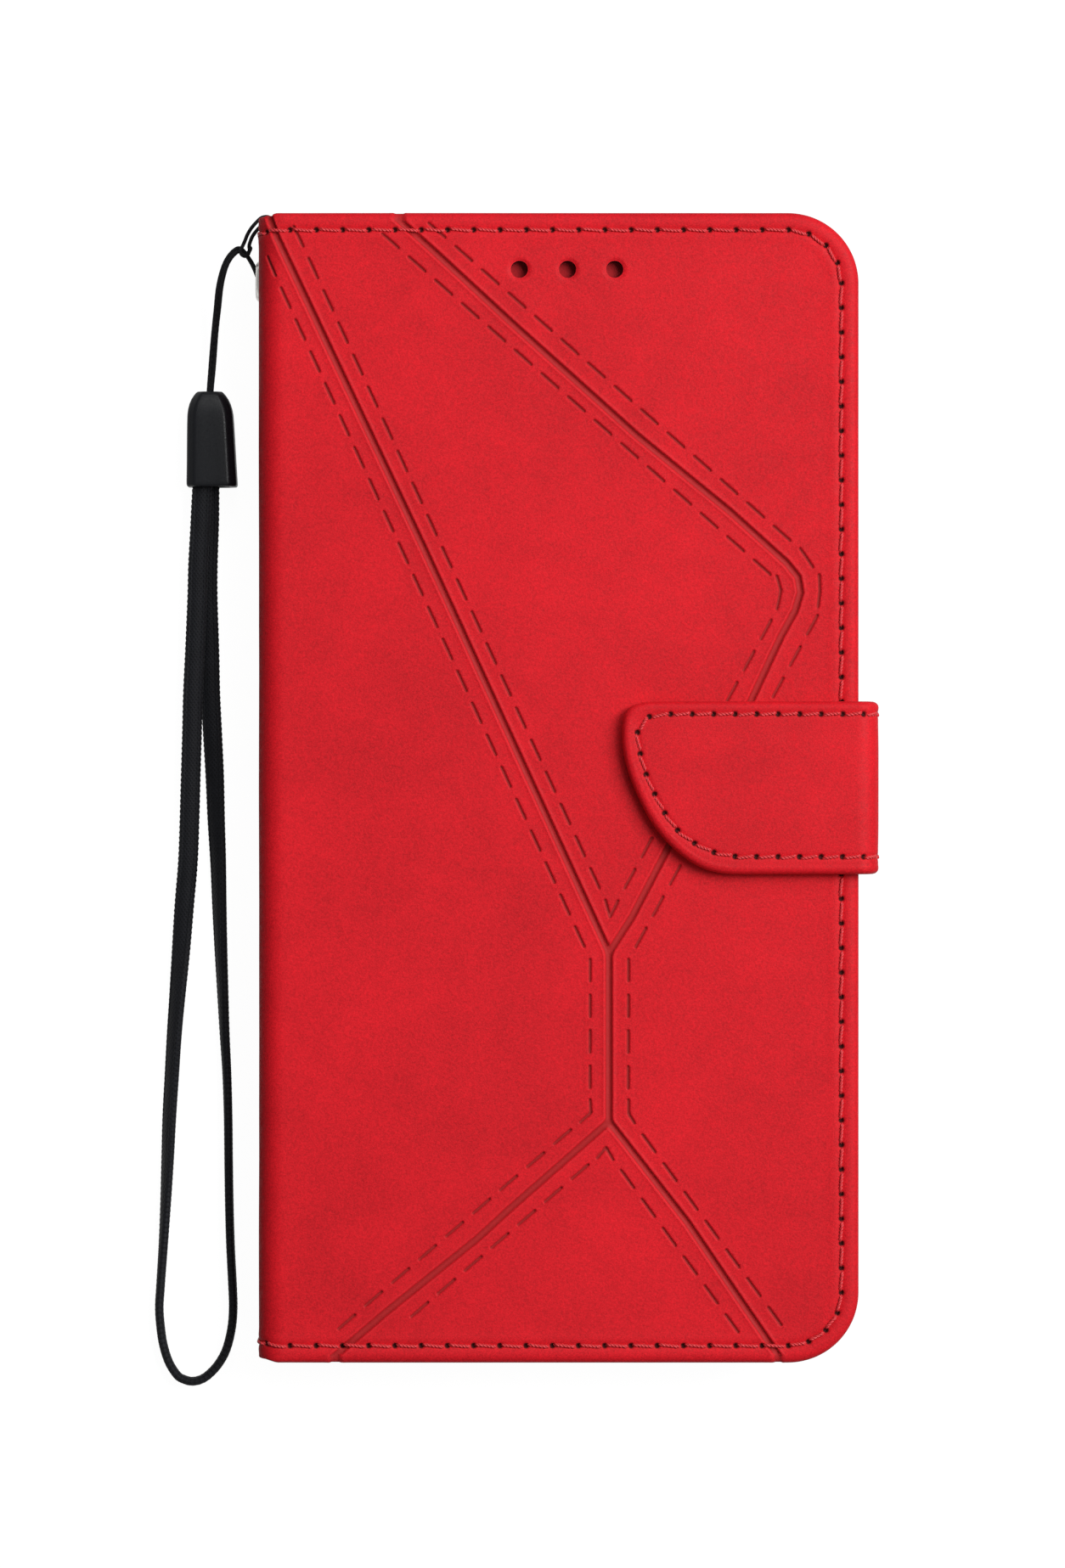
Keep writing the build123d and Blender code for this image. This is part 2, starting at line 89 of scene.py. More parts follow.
# ------------------------------------------------------------------ mesh helpers
def mesh_obj(name, V, tris=None, quads=None, mats=(), tri_mat=None, quad_mat=None, smooth=True, uv=None, attrs=None):
    V = np.asarray(V, np.float64) * MM
    tris = np.zeros((0, 3), int) if tris is None else np.asarray(tris, int).reshape(-1, 3)
    quads = np.zeros((0, 4), int) if quads is None else np.asarray(quads, int).reshape(-1, 4)
    me = bpy.data.meshes.new(name)
    me.vertices.add(len(V))
    me.vertices.foreach_set("co", V.astype(np.float32).ravel())
    nl = len(tris) * 3 + len(quads) * 4
    me.loops.add(nl)
    me.loops.foreach_set("vertex_index", np.concatenate([tris.ravel(), quads.ravel()]).astype(np.int32))
    me.polygons.add(len(tris) + len(quads))
    starts = np.concatenate([np.arange(len(tris)) * 3, len(tris) * 3 + np.arange(len(quads)) * 4]).astype(np.int32)
    me.polygons.foreach_set("loop_start", starts)
    me.update(calc_edges=True)
    me.validate()
    mi = np.zeros(len(tris) + len(quads), np.int32)
    if tri_mat is not None:
        mi[:len(tris)] = tri_mat
    if quad_mat is not None:
        mi[len(tris):] = quad_mat
    for m in mats:
        me.materials.append(m)
    if len(me.polygons) == len(mi):
        me.polygons.foreach_set("material_index", mi)
    me.polygons.foreach_set("use_smooth", np.full(len(me.polygons), smooth))
    if uv is not None:
        layer = me.uv_layers.new(name="UVMap")
        vi = np.zeros(len(me.loops), np.int32)
        me.loops.foreach_get("vertex_index", vi)
        layer.data.foreach_set("uv", np.asarray(uv, np.float32)[vi].ravel())
    for key, val in (attrs or {}).items():
        a = me.attributes.new(key, "FLOAT", "POINT")
        a.data.foreach_set("value", np.asarray(val, np.float32))
    ob = bpy.data.objects.new(name, me)
    bpy.context.scene.collection.objects.link(ob)
    return ob


def dseg(P, S, cap=9.0):
    """Distance from points to segments up to cap, with the nearest segment. Works cell by cell, so that far segments are skipped."""
    S = np.asarray(S, float)
    P = np.asarray(P, float)
    A, B = S[:, :2], S[:, 2:]
    lo, hi = np.minimum(A, B), np.maximum(A, B)
    best = np.full(len(P), cap); idx = np.zeros(len(P), int)
    cell = 7.0
    key = np.floor(P[:, 0] / cell).astype(np.int64) * 100003 + np.floor(P[:, 1] / cell).astype(np.int64)
    order = np.argsort(key, kind="stable")
    cuts = np.flatnonzero(np.diff(key[order])) + 1
    for g in np.split(order, cuts):
        if not len(g):
            continue
        Q = P[g]
        q0, q1 = Q.min(0) - cap, Q.max(0) + cap
        k = np.flatnonzero((lo[:, 0] <= q1[0]) & (hi[:, 0] >= q0[0]) & (lo[:, 1] <= q1[1]) & (hi[:, 1] >= q0[1]))
        if not len(k):
            continue
        D = B[k] - A[k]
        L2 = np.maximum((D ** 2).sum(1), 1e-9)
        t = np.clip(((Q[:, None, 0] - A[None, k, 0]) * D[None, :, 0] + (Q[:, None, 1] - A[None, k, 1]) * D[None, :, 1]) / L2[None], 0, 1)
        d = np.hypot(Q[:, None, 0] - (A[None, k, 0] + t * D[None, :, 0]), Q[:, None, 1] - (A[None, k, 1] + t * D[None, :, 1]))
        m = d.argmin(1)
        v = d[np.arange(len(Q)), m]
        best[g] = np.minimum(v, cap); idx[g] = k[m]
    return best, idx


def dpts(P, C):
    """Distance from points to the nearest of the centres C."""
    return dseg(P, np.hstack([C, C]), 3.0)[0]


def segs(poly, closed=False):
    P = np.asarray(poly, float)
    Q = np.roll(P, -1, 0)
    S = np.hstack([P, Q])
    return S if closed else S[:-1]


def graded(lo, hi, need, top=3.2, finest=0.2, jitter=0.06, seed=3):
    """Points whose spacing follows need(P): centres of a quadtree."""
    r = np.random.default_rng(seed)
    nx, ny = int(math.ceil((hi[0] - lo[0]) / top)), int(math.ceil((hi[1] - lo[1]) / top))
    gx, gy = np.meshgrid(lo[0] + (np.arange(nx) + 0.5) * top, lo[1] + (np.arange(ny) + 0.5) * top)
    cells = np.c_[gx.ravel(), gy.ravel()]
    size, out = top, []
    while len(cells):
        n = need(cells)
        split = (n < size * 0.98) & (size > finest * 1.01)
        keep = cells[~split]
        out.append(keep + r.uniform(-jitter, jitter, keep.shape) * size)
        c = cells[split]; q = size / 4
        cells = np.vstack([c + (dx * q, dy * q) for dx in (-1, 1) for dy in (-1, 1)]) if len(c) else c
        size /= 2
    return np.vstack(out)


def inside(P, poly):
    P = np.asarray(P, float)
    poly = np.asarray(poly, float)
    Q = np.roll(poly, 1, 0)
    ylo, yhi = np.minimum(poly[:, 1], Q[:, 1]), np.maximum(poly[:, 1], Q[:, 1])
    res = np.zeros(len(P), bool)
    key = np.floor(P[:, 1] / 1.5).astype(int)
    order = np.argsort(key, kind="stable")
    for g in np.split(order, np.flatnonzero(np.diff(key[order])) + 1):
        if not len(g):
            continue
        x, y = P[g, 0], P[g, 1]
        k = np.flatnonzero((ylo <= y.max()) & (yhi >= y.min()) & (yhi > ylo))
        if not len(k):
            continue
        xi, yi, xj, yj = poly[k, 0], poly[k, 1], Q[k, 0], Q[k, 1]
        c = ((yi[None] > y[:, None]) != (yj[None] > y[:, None])) & (x[:, None] < (xj - xi)[None] * (y[:, None] - yi[None]) / (yj - yi)[None] + xi[None])
        res[g] = c.sum(1) % 2 == 1
    return res


def fill(outline, holes, pts, clear=0.5):
    """Triangulates the area inside outline and outside holes, using pts as inner points. The first vertices are the outline's, then the holes'."""
    loops = [np.asarray(outline, float)] + [np.asarray(h, float) for h in holes]
    P = pts[inside(pts, loops[0])]
    for h in loops[1:]:
        P = P[~inside(P, h)]
    for l in loops:
        S = segs(l, True)
        d, k = dseg(P, S)
        ln = np.hypot(S[k, 2] - S[k, 0], S[k, 3] - S[k, 1])
        P = P[d > clear * ln]
    allp = np.vstack(loops + [P])
    edges, base = [], 0
    for l in loops:
        n = len(l)
        edges += [(base + i, base + (i + 1) % n) for i in range(n)]
        base += n
    r = delaunay_2d_cdt([Vector((float(a), float(b))) for a, b in allp], edges, [], 1, 1e-7, True)
    vin = np.full(len(r[0]), -1)
    for i, o in enumerate(r[3]):
        if len(o):
            vin[i] = min(o)
    tri = np.array([[vin[a] for a in f] for f in r[2] if len(f) == 3], int)
    tri = tri[(tri >= 0).all(1)]
    c = allp[tri].mean(1)
    ok = inside(c, loops[0])
    for h in loops[1:]:
        ok &= ~inside(c, h)
    tri = tri[ok]
    a, b, cc = allp[tri[:, 0]], allp[tri[:, 1]], allp[tri[:, 2]]
    area = (b[:, 0] - a[:, 0]) * (cc[:, 1] - a[:, 1]) - (b[:, 1] - a[:, 1]) * (cc[:, 0] - a[:, 0])
    tri[area < 0] = tri[area < 0][:, ::-1]
    return allp, tri[np.abs(area) > 1e-9]


def smoothstep(a, b, x):
    t = np.clip((x - a) / (b - a), 0, 1)
    return t * t * (3 - 2 * t)


def value_noise(P, scale, seed):
    """Smooth 2-D noise in -1..1."""
    r = np.random.default_rng(seed)
    g = r.uniform(-1, 1, (64, 64))
    q = np.asarray(P, float) / scale
    i = np.floor(q).astype(int); f = q - i
    f = f * f * (3 - 2 * f)
    a = g[i[:, 0] % 64, i[:, 1] % 64]; b = g[(i[:, 0] + 1) % 64, i[:, 1] % 64]
    c = g[i[:, 0] % 64, (i[:, 1] + 1) % 64]; d = g[(i[:, 0] + 1) % 64, (i[:, 1] + 1) % 64]
    return (a * (1 - f[:, 0]) + b * f[:, 0]) * (1 - f[:, 1]) + (c * (1 - f[:, 0]) + d * f[:, 0]) * f[:, 1]


def grid_quads(rows, cols, base=0, close_cols=False):
    """Quads of a rows x cols vertex grid."""
    i, j = np.meshgrid(np.arange(rows - 1), np.arange(cols if close_cols else cols - 1), indexing="ij")
    j2 = (j + 1) % cols
    return base + np.stack([i * cols + j, i * cols + j2, (i + 1) * cols + j2, (i + 1) * cols + j], -1).reshape(-1, 4)


def catmull(P, n):
    P = np.asarray(P, float)
    P = np.vstack([2 * P[0] - P[1], P, 2 * P[-1] - P[-2]])
    out = []
    for k in range(1, len(P) - 2):
        t = (np.arange(n) / n)[:, None]
        a, b, c, d = P[k - 1], P[k], P[k + 1], P[k + 2]
        out.append(0.5 * (2 * b + (c - a) * t + (2 * a - 5 * b + 4 * c - d) * t ** 2 + (3 * b - a - 3 * c + d) * t ** 3))
    out.append(P[-2][None])
    return np.vstack(out)


def resample(P, step):
    P = np.asarray(P, float)
    L = np.r_[0, np.cumsum(np.linalg.norm(np.diff(P, axis=0), axis=1))]
    n = max(2, int(round(L[-1] / step)) + 1)
    s = np.linspace(0, L[-1], n)
    return np.stack([np.interp(s, L, P[:, k]) for k in range(P.shape[1])], 1)

# ------------------------------------------------------------------ materials
def nt(name):
    m = bpy.data.materials.new(name)
    m.use_nodes = True
    t = m.node_tree
    t.nodes.clear()
    out = t.nodes.new("ShaderNodeOutputMaterial")
    p = t.nodes.new("ShaderNodeBsdfPrincipled")
    t.links.new(p.outputs[0], out.inputs[0])
    return m, t, p


def N(t, kind, **kw):
    n = t.nodes.new(kind)
    for k, v in kw.items():
        if k in n.inputs.keys() if hasattr(n.inputs, "keys") else False:
            n.inputs[k].default_value = v
        else:
            setattr(n, k, v)
    return n


def setin(n, **kw):
    for k, v in kw.items():
        n.inputs[k.replace("_", " ")].default_value = v
    return n


def noise(t, vec, scale, detail=3.0, rough=0.55, distortion=0.0):
    n = t.nodes.new("ShaderNodeTexNoise")
    n.inputs["Scale"].default_value = scale
    n.inputs["Detail"].default_value = detail
    n.inputs["Roughness"].default_value = rough
    n.inputs["Distortion"].default_value = distortion
    t.links.new(vec, n.inputs["Vector"])
    return n


def mathn(t, op, a, b=None, c=None, clamp=False):
    n = t.nodes.new("ShaderNodeMath")
    n.operation = op
    n.use_clamp = clamp
    for i, v in enumerate((a, b, c)):
        if v is None:
            continue
        if isinstance(v, (int, float)):
            n.inputs[i].default_value = v
        else:
            t.links.new(v, n.inputs[i])
    return n.outputs[0]


def mixc(t, fac, a, b, mode="MIX"):
    n = t.nodes.new("ShaderNodeMix")
    n.data_type = "RGBA"
    n.blend_type = mode
    n.clamp_factor = True
    for sock, v in ((n.inputs[0], fac), (n.inputs[6], a), (n.inputs[7], b)):
        if isinstance(v, (int, float)):
            sock.default_value = v
        elif isinstance(v, (tuple, list)):
            sock.default_value = (*v, 1.0) if len(v) == 3 else v
        else:
            t.links.new(v, sock)
    return n.outputs[2]


def remap(t, v, a, b, c, d):
    n = t.nodes.new("ShaderNodeMapRange")
    t.links.new(v, n.inputs[0])
    for i, x in enumerate((a, b, c, d)):
        n.inputs[i + 1].default_value = x
    return n.outputs[0]


def coords(t):
    c = t.nodes.new("ShaderNodeTexCoord")
    m = t.nodes.new("ShaderNodeMapping")
    m.inputs["Scale"].default_value = (1000, 1000, 1000)   # texture space in millimetres
    t.links.new(c.outputs["Object"], m.inputs["Vector"])
    return m.outputs[0]


def bump(t, height, dist_mm, strength=1.0, normal=None):
    b = t.nodes.new("ShaderNodeBump")
    b.inputs["Distance"].default_value = dist_mm * MM
    b.inputs["Strength"].default_value = strength
    t.links.new(height, b.inputs["Height"])
    if normal is not None:
        t.links.new(normal, b.inputs["Normal"])
    return b.outputs[0]


def leather(name, base, groove, edge, rough=(0.50, 0.66), spec=0.16, grain=1.0, mottle=1.0):
    """Skin-feel PU leather: soft cloudy mottling, fine pebble, painted shade in the grooves, dashes and needle holes,
    painted highlight along the groove ridges.
    """
    m, t, p = nt(name)
    v = coords(t)
    cloud = noise(t, v, 0.95, 4, 0.62, 0.4).outputs["Fac"]
    big = noise(t, v, 0.045, 2, 0.5).outputs["Fac"]
    fine = noise(t, v, 2.6, 3, 0.6).outputs["Fac"]
    tone = t.nodes.new("ShaderNodeAttribute"); tone.attribute_name = "tone"
    k1 = remap(t, cloud, 0.30, 0.70, -0.05 * mottle, 0.05 * mottle)
    k2 = remap(t, big, 0.3, 0.7, -0.05, 0.05)
    speck = noise(t, v, 5.2, 2, 0.5).outputs["Fac"]
    patch = noise(t, v, 0.11, 3, 0.55, 0.6).outputs["Fac"]
    k3 = remap(t, fine, 0.3, 0.7, -0.125 * mottle, 0.125 * mottle)
    k4 = remap(t, speck, 0.3, 0.7, -0.11 * mottle, 0.11 * mottle)
    k5 = remap(t, patch, 0.35, 0.65, -0.05 * mottle, 0.05 * mottle)
    k = mathn(t, "ADD", mathn(t, "ADD", k1, k2), mathn(t, "ADD", k3, 1.0))
    k = mathn(t, "ADD", k, mathn(t, "ADD", k4, k5))
    col = t.nodes.new("ShaderNodeVectorMath"); col.operation = "SCALE"
    col.inputs[0].default_value = base
    t.links.new(k, col.inputs["Scale"])
    # painted shade: a per-vertex tone of 0..1 turns the colour to the groove colour, a darker red painted into groove
    # floors and dash slits
    g = remap(t, tone.outputs["Fac"], 0.0, 1.0, 0.0, 1.0)
    c1 = mixc(t, g, col.outputs[0], groove)
    # painted shade: a tone of 1.1..2 turns the colour near black, painted into the needle holes
    g2 = remap(t, tone.outputs["Fac"], 1.1, 2.0, 0.0, 1.0)
    c1 = mixc(t, g2, c1, (0.045, 0.0055, 0.0055))
    # painted highlight: a negative tone turns the colour to the lighter edge colour, painted along the groove ridges
    e = remap(t, tone.outputs["Fac"], 0.0, -1.0, 0.0, 1.0)
    c2 = mixc(t, e, c1, edge)
    t.links.new(c2, p.inputs["Base Color"])
    r = remap(t, cloud, 0.3, 0.7, rough[0], rough[1])
    t.links.new(r, p.inputs["Roughness"])
    p.inputs["Specular IOR Level"].default_value = spec
    p.inputs["Sheen Weight"].default_value = 0.03
    p.inputs["Sheen Roughness"].default_value = 0.45
    p.inputs["Sheen Tint"].default_value = (1.0, 0.3, 0.3, 1)
    vor = t.nodes.new("ShaderNodeTexVoronoi"); vor.feature = "SMOOTH_F1"
    vor.inputs["Scale"].default_value = 3.4; vor.inputs["Smoothness"].default_value = 0.6
    t.links.new(v, vor.inputs["Vector"])
    h1 = mathn(t, "MULTIPLY", vor.outputs["Distance"], -0.20)
    h2 = mathn(t, "ADD", h1, mathn(t, "MULTIPLY", fine, 0.75))
    h2 = mathn(t, "ADD", h2, mathn(t, "MULTIPLY", speck, 0.5))
    b1 = bump(t, h2, 0.034 * grain, 0.8)
    b2 = bump(t, cloud, 0.05 * grain, 0.45, b1)
    t.links.new(b2, p.inputs["Normal"])
    return m


RED = (0.640, 0.0085, 0.0165)
# second colour: painted shade for groove floors and dash slits; third colour: painted highlight for groove ridges. The
# lining meshes carry no tone, so the lining's two are unused
LEATHER = leather("red_leather_skin", RED, (0.36, 0.0190, 0.0205), (0.80, 0.030, 0.038))
LINING = leather("lining_leather", (0.50, 0.0130, 0.0185), (0.30, 0.0085, 0.0105), (0.62, 0.03, 0.035), rough=(0.55, 0.7), grain=0.7, mottle=0.6)


def thread_mat(name, base):
    m, t, p = nt(name)
    v = coords(t)
    n1 = noise(t, v, 6.0, 3, 0.6).outputs["Fac"]
    c = mixc(t, n1, tuple(0.78 * x for x in base), tuple(min(1, 1.25 * x) for x in base))
    t.links.new(c, p.inputs["Base Color"])
    p.inputs["Roughness"].default_value = 0.42
    p.inputs["Specular IOR Level"].default_value = 0.5
    p.inputs["Sheen Weight"].default_value = 0.12
    p.inputs["Sheen Tint"].default_value = (1, 0.4, 0.4, 1)
    t.links.new(bump(t, n1, 0.03, 0.6), p.inputs["Normal"])
    return m


THREAD = thread_mat("red_thread", (0.64, 0.026, 0.034))


def metal(name, base, rough=0.2):
    m, t, p = nt(name)
    v = coords(t)
    n1 = noise(t, v, 4.0, 4, 0.6).outputs["Fac"]
    c = mixc(t, n1, tuple(0.9 * x for x in base), base)
    t.links.new(c, p.inputs["Base Color"])
    p.inputs["Metallic"].default_value = 1.0
    t.links.new(remap(t, n1, 0.3, 0.7, rough * 0.8, rough * 1.4), p.inputs["Roughness"])
    t.links.new(bump(t, n1, 0.01, 0.3), p.inputs["Normal"])
    return m


NICKEL = metal("nickel_plate", (0.93, 0.91, 0.87), 0.30)
STEEL = metal("steel_plate", (0.55, 0.55, 0.56), 0.35)


def plastic(name, base, rough, spec=0.5, bump_mm=0.01, scale=5.0):
    m, t, p = nt(name)
    v = coords(t)
    n1 = noise(t, v, scale, 4, 0.6).outputs["Fac"]
    n2 = noise(t, v, 0.3, 2, 0.5).outputs["Fac"]
    c = mixc(t, n2, tuple(0.8 * x for x in base), tuple(1.2 * x for x in base))
    t.links.new(c, p.inputs["Base Color"])
    t.links.new(remap(t, n1, 0.3, 0.7, rough * 0.85, rough * 1.2), p.inputs["Roughness"])
    p.inputs["Specular IOR Level"].default_value = spec
    t.links.new(bump(t, n1, bump_mm, 0.5), p.inputs["Normal"])
    return m


BEADM = plastic("black_bead_plastic", (0.0062, 0.0070, 0.0094), 0.36, 0.29, 0.012, 3.0)
TPU = plastic("tray_elastomer", (0.016, 0.016, 0.018), 0.46, 0.45, 0.02, 6.0)
BOARD = plastic("pressed_board", (0.30, 0.27, 0.23), 0.85, 0.2, 0.05, 2.5)
FELT = plastic("felt_padding", (0.5, 0.48, 0.45), 0.9, 0.2, 0.08, 3.0)
# near-black edge colour, a painted shade: lines the walls of the ear holes so that they read as dark openings
CUT_EDGE_SHADE = plastic("cut_edge", (0.035, 0.012, 0.012), 0.8, 0.2, 0.05, 3.0)


def woven(name, base, hi, ribs, picks, depth=0.05, rough=0.62):
    """Woven or braided textile driven by the sweep's own coordinates: u along it, v round it, both in millimetres."""
    m, t, p = nt(name)
    uvn = t.nodes.new("ShaderNodeUVMap"); uvn.uv_map = "UVMap"
    sep = t.nodes.new("ShaderNodeSeparateXYZ")
    t.links.new(uvn.outputs[0], sep.inputs[0])
    u, w = sep.outputs[0], sep.outputs[1]
    a = mathn(t, "MULTIPLY", u, 2 * PI / picks)
    b = mathn(t, "MULTIPLY", w, 2 * PI / ribs)
    d1 = mathn(t, "SINE", mathn(t, "ADD", a, b))
    d2 = mathn(t, "SINE", mathn(t, "SUBTRACT", a, b))
    h = mathn(t, "MAXIMUM", mathn(t, "MULTIPLY", d1, 0.5), mathn(t, "MULTIPLY", d2, 0.5))
    v = coords(t)
    n1 = noise(t, v, 9.0, 3, 0.6).outputs["Fac"]
    n2 = noise(t, v, 0.35, 2, 0.5).outputs["Fac"]
    hh = mathn(t, "ADD", h, mathn(t, "MULTIPLY", n1, 0.45))
    # painted highlight and shade: raised strands of the weave get the lighter colour, its hollows the darker one
    fac = remap(t, hh, -0.1, 0.8, 0.0, 1.0)
    c = mixc(t, fac, base, hi)
    c = mixc(t, remap(t, n2, 0.3, 0.7, 0.0, 0.35), c, tuple(0.55 * x for x in base))
    t.links.new(c, p.inputs["Base Color"])
    p.inputs["Roughness"].default_value = rough
    p.inputs["Specular IOR Level"].default_value = 0.18
    p.inputs["Sheen Weight"].default_value = 0.06
    p.inputs["Sheen Roughness"].default_value = 0.5
    t.links.new(bump(t, hh, depth, 0.8), p.inputs["Normal"])
    return m


# in both, the second colour is the painted highlight on the raised strands
CORD = woven("black_braided_cord", (0.0035, 0.0036, 0.0045), (0.013, 0.013, 0.016), 0.62, 0.9, 0.05)
WEB = woven("black_webbing", (0.0036, 0.0040, 0.0054), (0.0125, 0.0135, 0.0176), 0.55, 0.75, 0.045)
# -------------------------------------------------- end of part one

# ------------------------------------------------------------------ measured lines of the embossing, on the flat front (mm)
GROOVES = [
    [(-42.9, 84.6), (-42.18, 83.15), (-41.13, 80.35), (-19.73, 35.04), (-0.74, -6.44), (7.37, -24.11)],
    [(7.37, -24.11), (7.37, -48.74)],
    [(7.37, -48.74), (-7.11, -61.46), (-11.96, -65.92), (-25.04, -76.44), (-33.3, -83.52), (-34.4, -84.5)],
    [(7.37, -48.74), (18.79, -63.44), (25.9, -73.93), (32.66, -83.77), (33.2, -84.6)],
    [(-24.6, 84.1), (-23.59, 83.17), (-18.07, 78.19), (-7.0, 67.96), (11.47, 51.36), (25.08, 40.24), (33.28, 32.84), (34.94, 30.78),
     (35.32, 28.53), (34.52, 25.85), (32.48, 22.14), (28.17, 12.9), (15.94, -8.84), (10.77, -18.77), (7.37, -24.11)]]
RUNS = [((-42.01, 76.21), (3.06, -21.73), 22), ((-37.98, 80.5), (5.28, -13.23), 21), ((-17.74, 81.36), (32.58, 37.13), 14),
        ((-24.54, 79.84), (29.68, 32.18), 15), ((37.03, 23.78), (12.01, -21.86), 11), ((30.27, 23.1), (10.4, -13.26), 9),
        ((4.61, -26.64), (4.58, -42.21), 4), ((10.2, -26.62), (10.17, -42.28), 4), ((0.58, -50.94), (-30.92, -77.97), 9),
        ((3.14, -56.05), (-20.26, -76.16), 7), ((13.18, -51.93), (31.54, -77.13), 7), ((10.05, -57.14), (25.3, -78.19), 6)]
BENT = [[(6.82, -16.41), (7.51, -18.84), (8.67, -16.52)], [(5.63, -54.08), (6.93, -52.54), (7.96, -54.28)],
        [(4.6, -45.55), (4.71, -47.46), (3.17, -48.82)], [(10.21, -45.55), (10.21, -47.58), (11.08, -48.95)],
        [(35.25, 34.9), (36.21, 33.54), (37.1, 32.2)], [(38.02, 31.1), (38.12, 28.75), (37.86, 26.4)],
        [(31.85, 30.9), (32.42, 28.9), (32.2, 27.6), (31.85, 26.1)]]
DASH = 3.15
dash_segs = []
for a, b, n in RUNS:
    a, b = np.array(a), np.array(b)
    u = (b - a) / np.linalg.norm(b - a)
    for k in range(n):
        c = a + (b - a) * k / (n - 1)
        dash_segs.append([*(c - u * DASH / 2), *(c + u * DASH / 2)])
bent_segs = [s for pl in BENT for s in segs(pl)]
groove_segs = np.vstack([segs(g) for g in GROOVES])
dash_segs = np.array(dash_segs + [list(s) for s in bent_segs])

# ------------------------------------------------------------------ the covers' flat plan, with a cut at mid spine
STEP = 0.36
EY_Y, EY_R = 74.6, 2.34


def cover_loop(spine=True, inset=0.0, hy=HY, x1=X1, cr=CR, step=STEP, notch=True, pmid=P_MID):
    """Base points and inward offset directions of the cover's outline, anticlockwise from the cut line's lower end."""
    B, D = [], []
    hy, x1, cr = hy - inset, x1 - inset, max(cr - inset, 0.5)
    n = int((x1 - cr - pmid) / step)
    for t in np.linspace(0, 1, n, endpoint=False):
        B.append((pmid + (x1 - cr - pmid) * t, -hy)); D.append((0, 1))
    m = max(8, int(cr * PI / 2 / step))
    for a in np.linspace(-PI / 2, 0, m, endpoint=False):
        B.append((x1 - cr + cr * math.cos(a), -hy + cr + cr * math.sin(a))); D.append((-math.cos(a), -math.sin(a)))
    n2 = int((2 * hy - 2 * cr) / step)
    for t in np.linspace(0, 1, n2, endpoint=False):
        B.append((x1, -hy + cr + (2 * hy - 2 * cr) * t)); D.append((-1, 0))
    for a in np.linspace(0, PI / 2, m, endpoint=False):
        B.append((x1 - cr + cr * math.cos(a), hy - cr + cr * math.sin(a))); D.append((-math.cos(a), -math.sin(a)))
    for t in np.linspace(0, 1, n, endpoint=False):
        B.append((x1 - cr - (x1 - cr - pmid) * t, hy)); D.append((0, -1))
    cut = []
    ys = [hy]
    while ys[-1] > -hy + 1e-6:
        s = 0.36 if ys[-1] > hy - 12 or ys[-1] < -hy + 6 else 1.2
        ys.append(ys[-1] - s)
    ys = np.array(ys[:-1]); ys[-1] = max(ys[-1], -hy + 0.2)
    ys = ys[ys > -hy + 0.15]
    for y in ys:
        p = pmid
        if notch and abs(y - EY_Y) < EY_R:
            p = pmid + math.sqrt(EY_R ** 2 - (y - EY_Y) ** 2)
        cut.append(len(B))
        B.append((p, y)); D.append((0, -np.sign(y) * smoothstep(hy - 5.5, hy, abs(y))))
    cut.append(0)
    return np.array(B), np.array(D), np.array(cut)


def seam_points(inset, pitch_h, pitch_v, pitch_c, start_p, hy=HY, x1=X1, cr=CR):
    """Needle holes along the seam: along the bottom from the spine, up the free edge, back along the top."""
    hy, x1, r = hy - inset, x1 - inset, cr - inset
    pts = []

    def run(a, b, pitch):
        L = math.dist(a, b); n = max(1, round(L / pitch))
        for k in range(n):
            pts.append((a[0] + (b[0] - a[0]) * k / n, a[1] + (b[1] - a[1]) * k / n))

    def arc(cx, cy, a0, a1, pitch):
        n = max(2, round(abs(a1 - a0) * r / pitch))
        for k in range(n):
            a = a0 + (a1 - a0) * k / n
            pts.append((cx + r * math.cos(a), cy + r * math.sin(a)))
    run((start_p, -hy), (x1 - r, -hy), pitch_h)
    arc(x1 - r, -hy + r, -PI / 2, 0, pitch_c)
    run((x1, -hy + r), (x1, hy - r), pitch_v)
    arc(x1 - r, hy - r, 0, PI / 2, pitch_c)
    run((x1 - r, hy), (start_p, hy), pitch_h)
    pts.append((start_p, hy))
    return np.array(pts)


def fold(p, y, n, back=False):
    """From the flat plan to the closed case: over the spine's bend and down its wall."""
    p, y, n = np.broadcast_arrays(np.asarray(p, float), np.asarray(y, float), np.asarray(n, float))
    s = XC - p
    phi = np.clip(s / R, 0, PI / 2)
    flat = s <= 0
    wall = s > PI * R / 2
    x = np.where(flat, p, np.where(wall, X0 - n, XC - (R + n) * np.sin(phi)))
    z = np.where(flat, T + n, np.where(wall, T - R - (s - PI * R / 2), T - R + (R + n) * np.cos(phi)))
    ends = smoothstep(HY - 9, HY, np.abs(y))
    dip = 0.40 * smoothstep(0.6, 3.4, s)
    dip = dip + np.where(y > 0, 1.0, 0.0) * 1.25 * np.exp(-((z - T / 2) / 1.75) ** 2) * smoothstep(3.0, 6.0, s)
    yy = y - np.sign(y) * dip * ends
    if back:
        z = T - z
    return np.stack([x, yy, z], -1)


def offset_lines(poly, offs, step):
    """Points along a polyline at the given sideways offsets, mitred at its corners."""
    P_ = resample(np.asarray(poly, float), step) if len(poly) == 2 else np.vstack([resample([a, b], step)[:-1] for a, b in zip(poly[:-1], poly[1:])] + [np.asarray(poly[-1:], float)])
    t = np.gradient(P_, axis=0)
    t /= np.linalg.norm(t, axis=1)[:, None] + 1e-12
    nrm = np.c_[-t[:, 1], t[:, 0]]
    return np.vstack([P_ + nrm * o for o in offs])


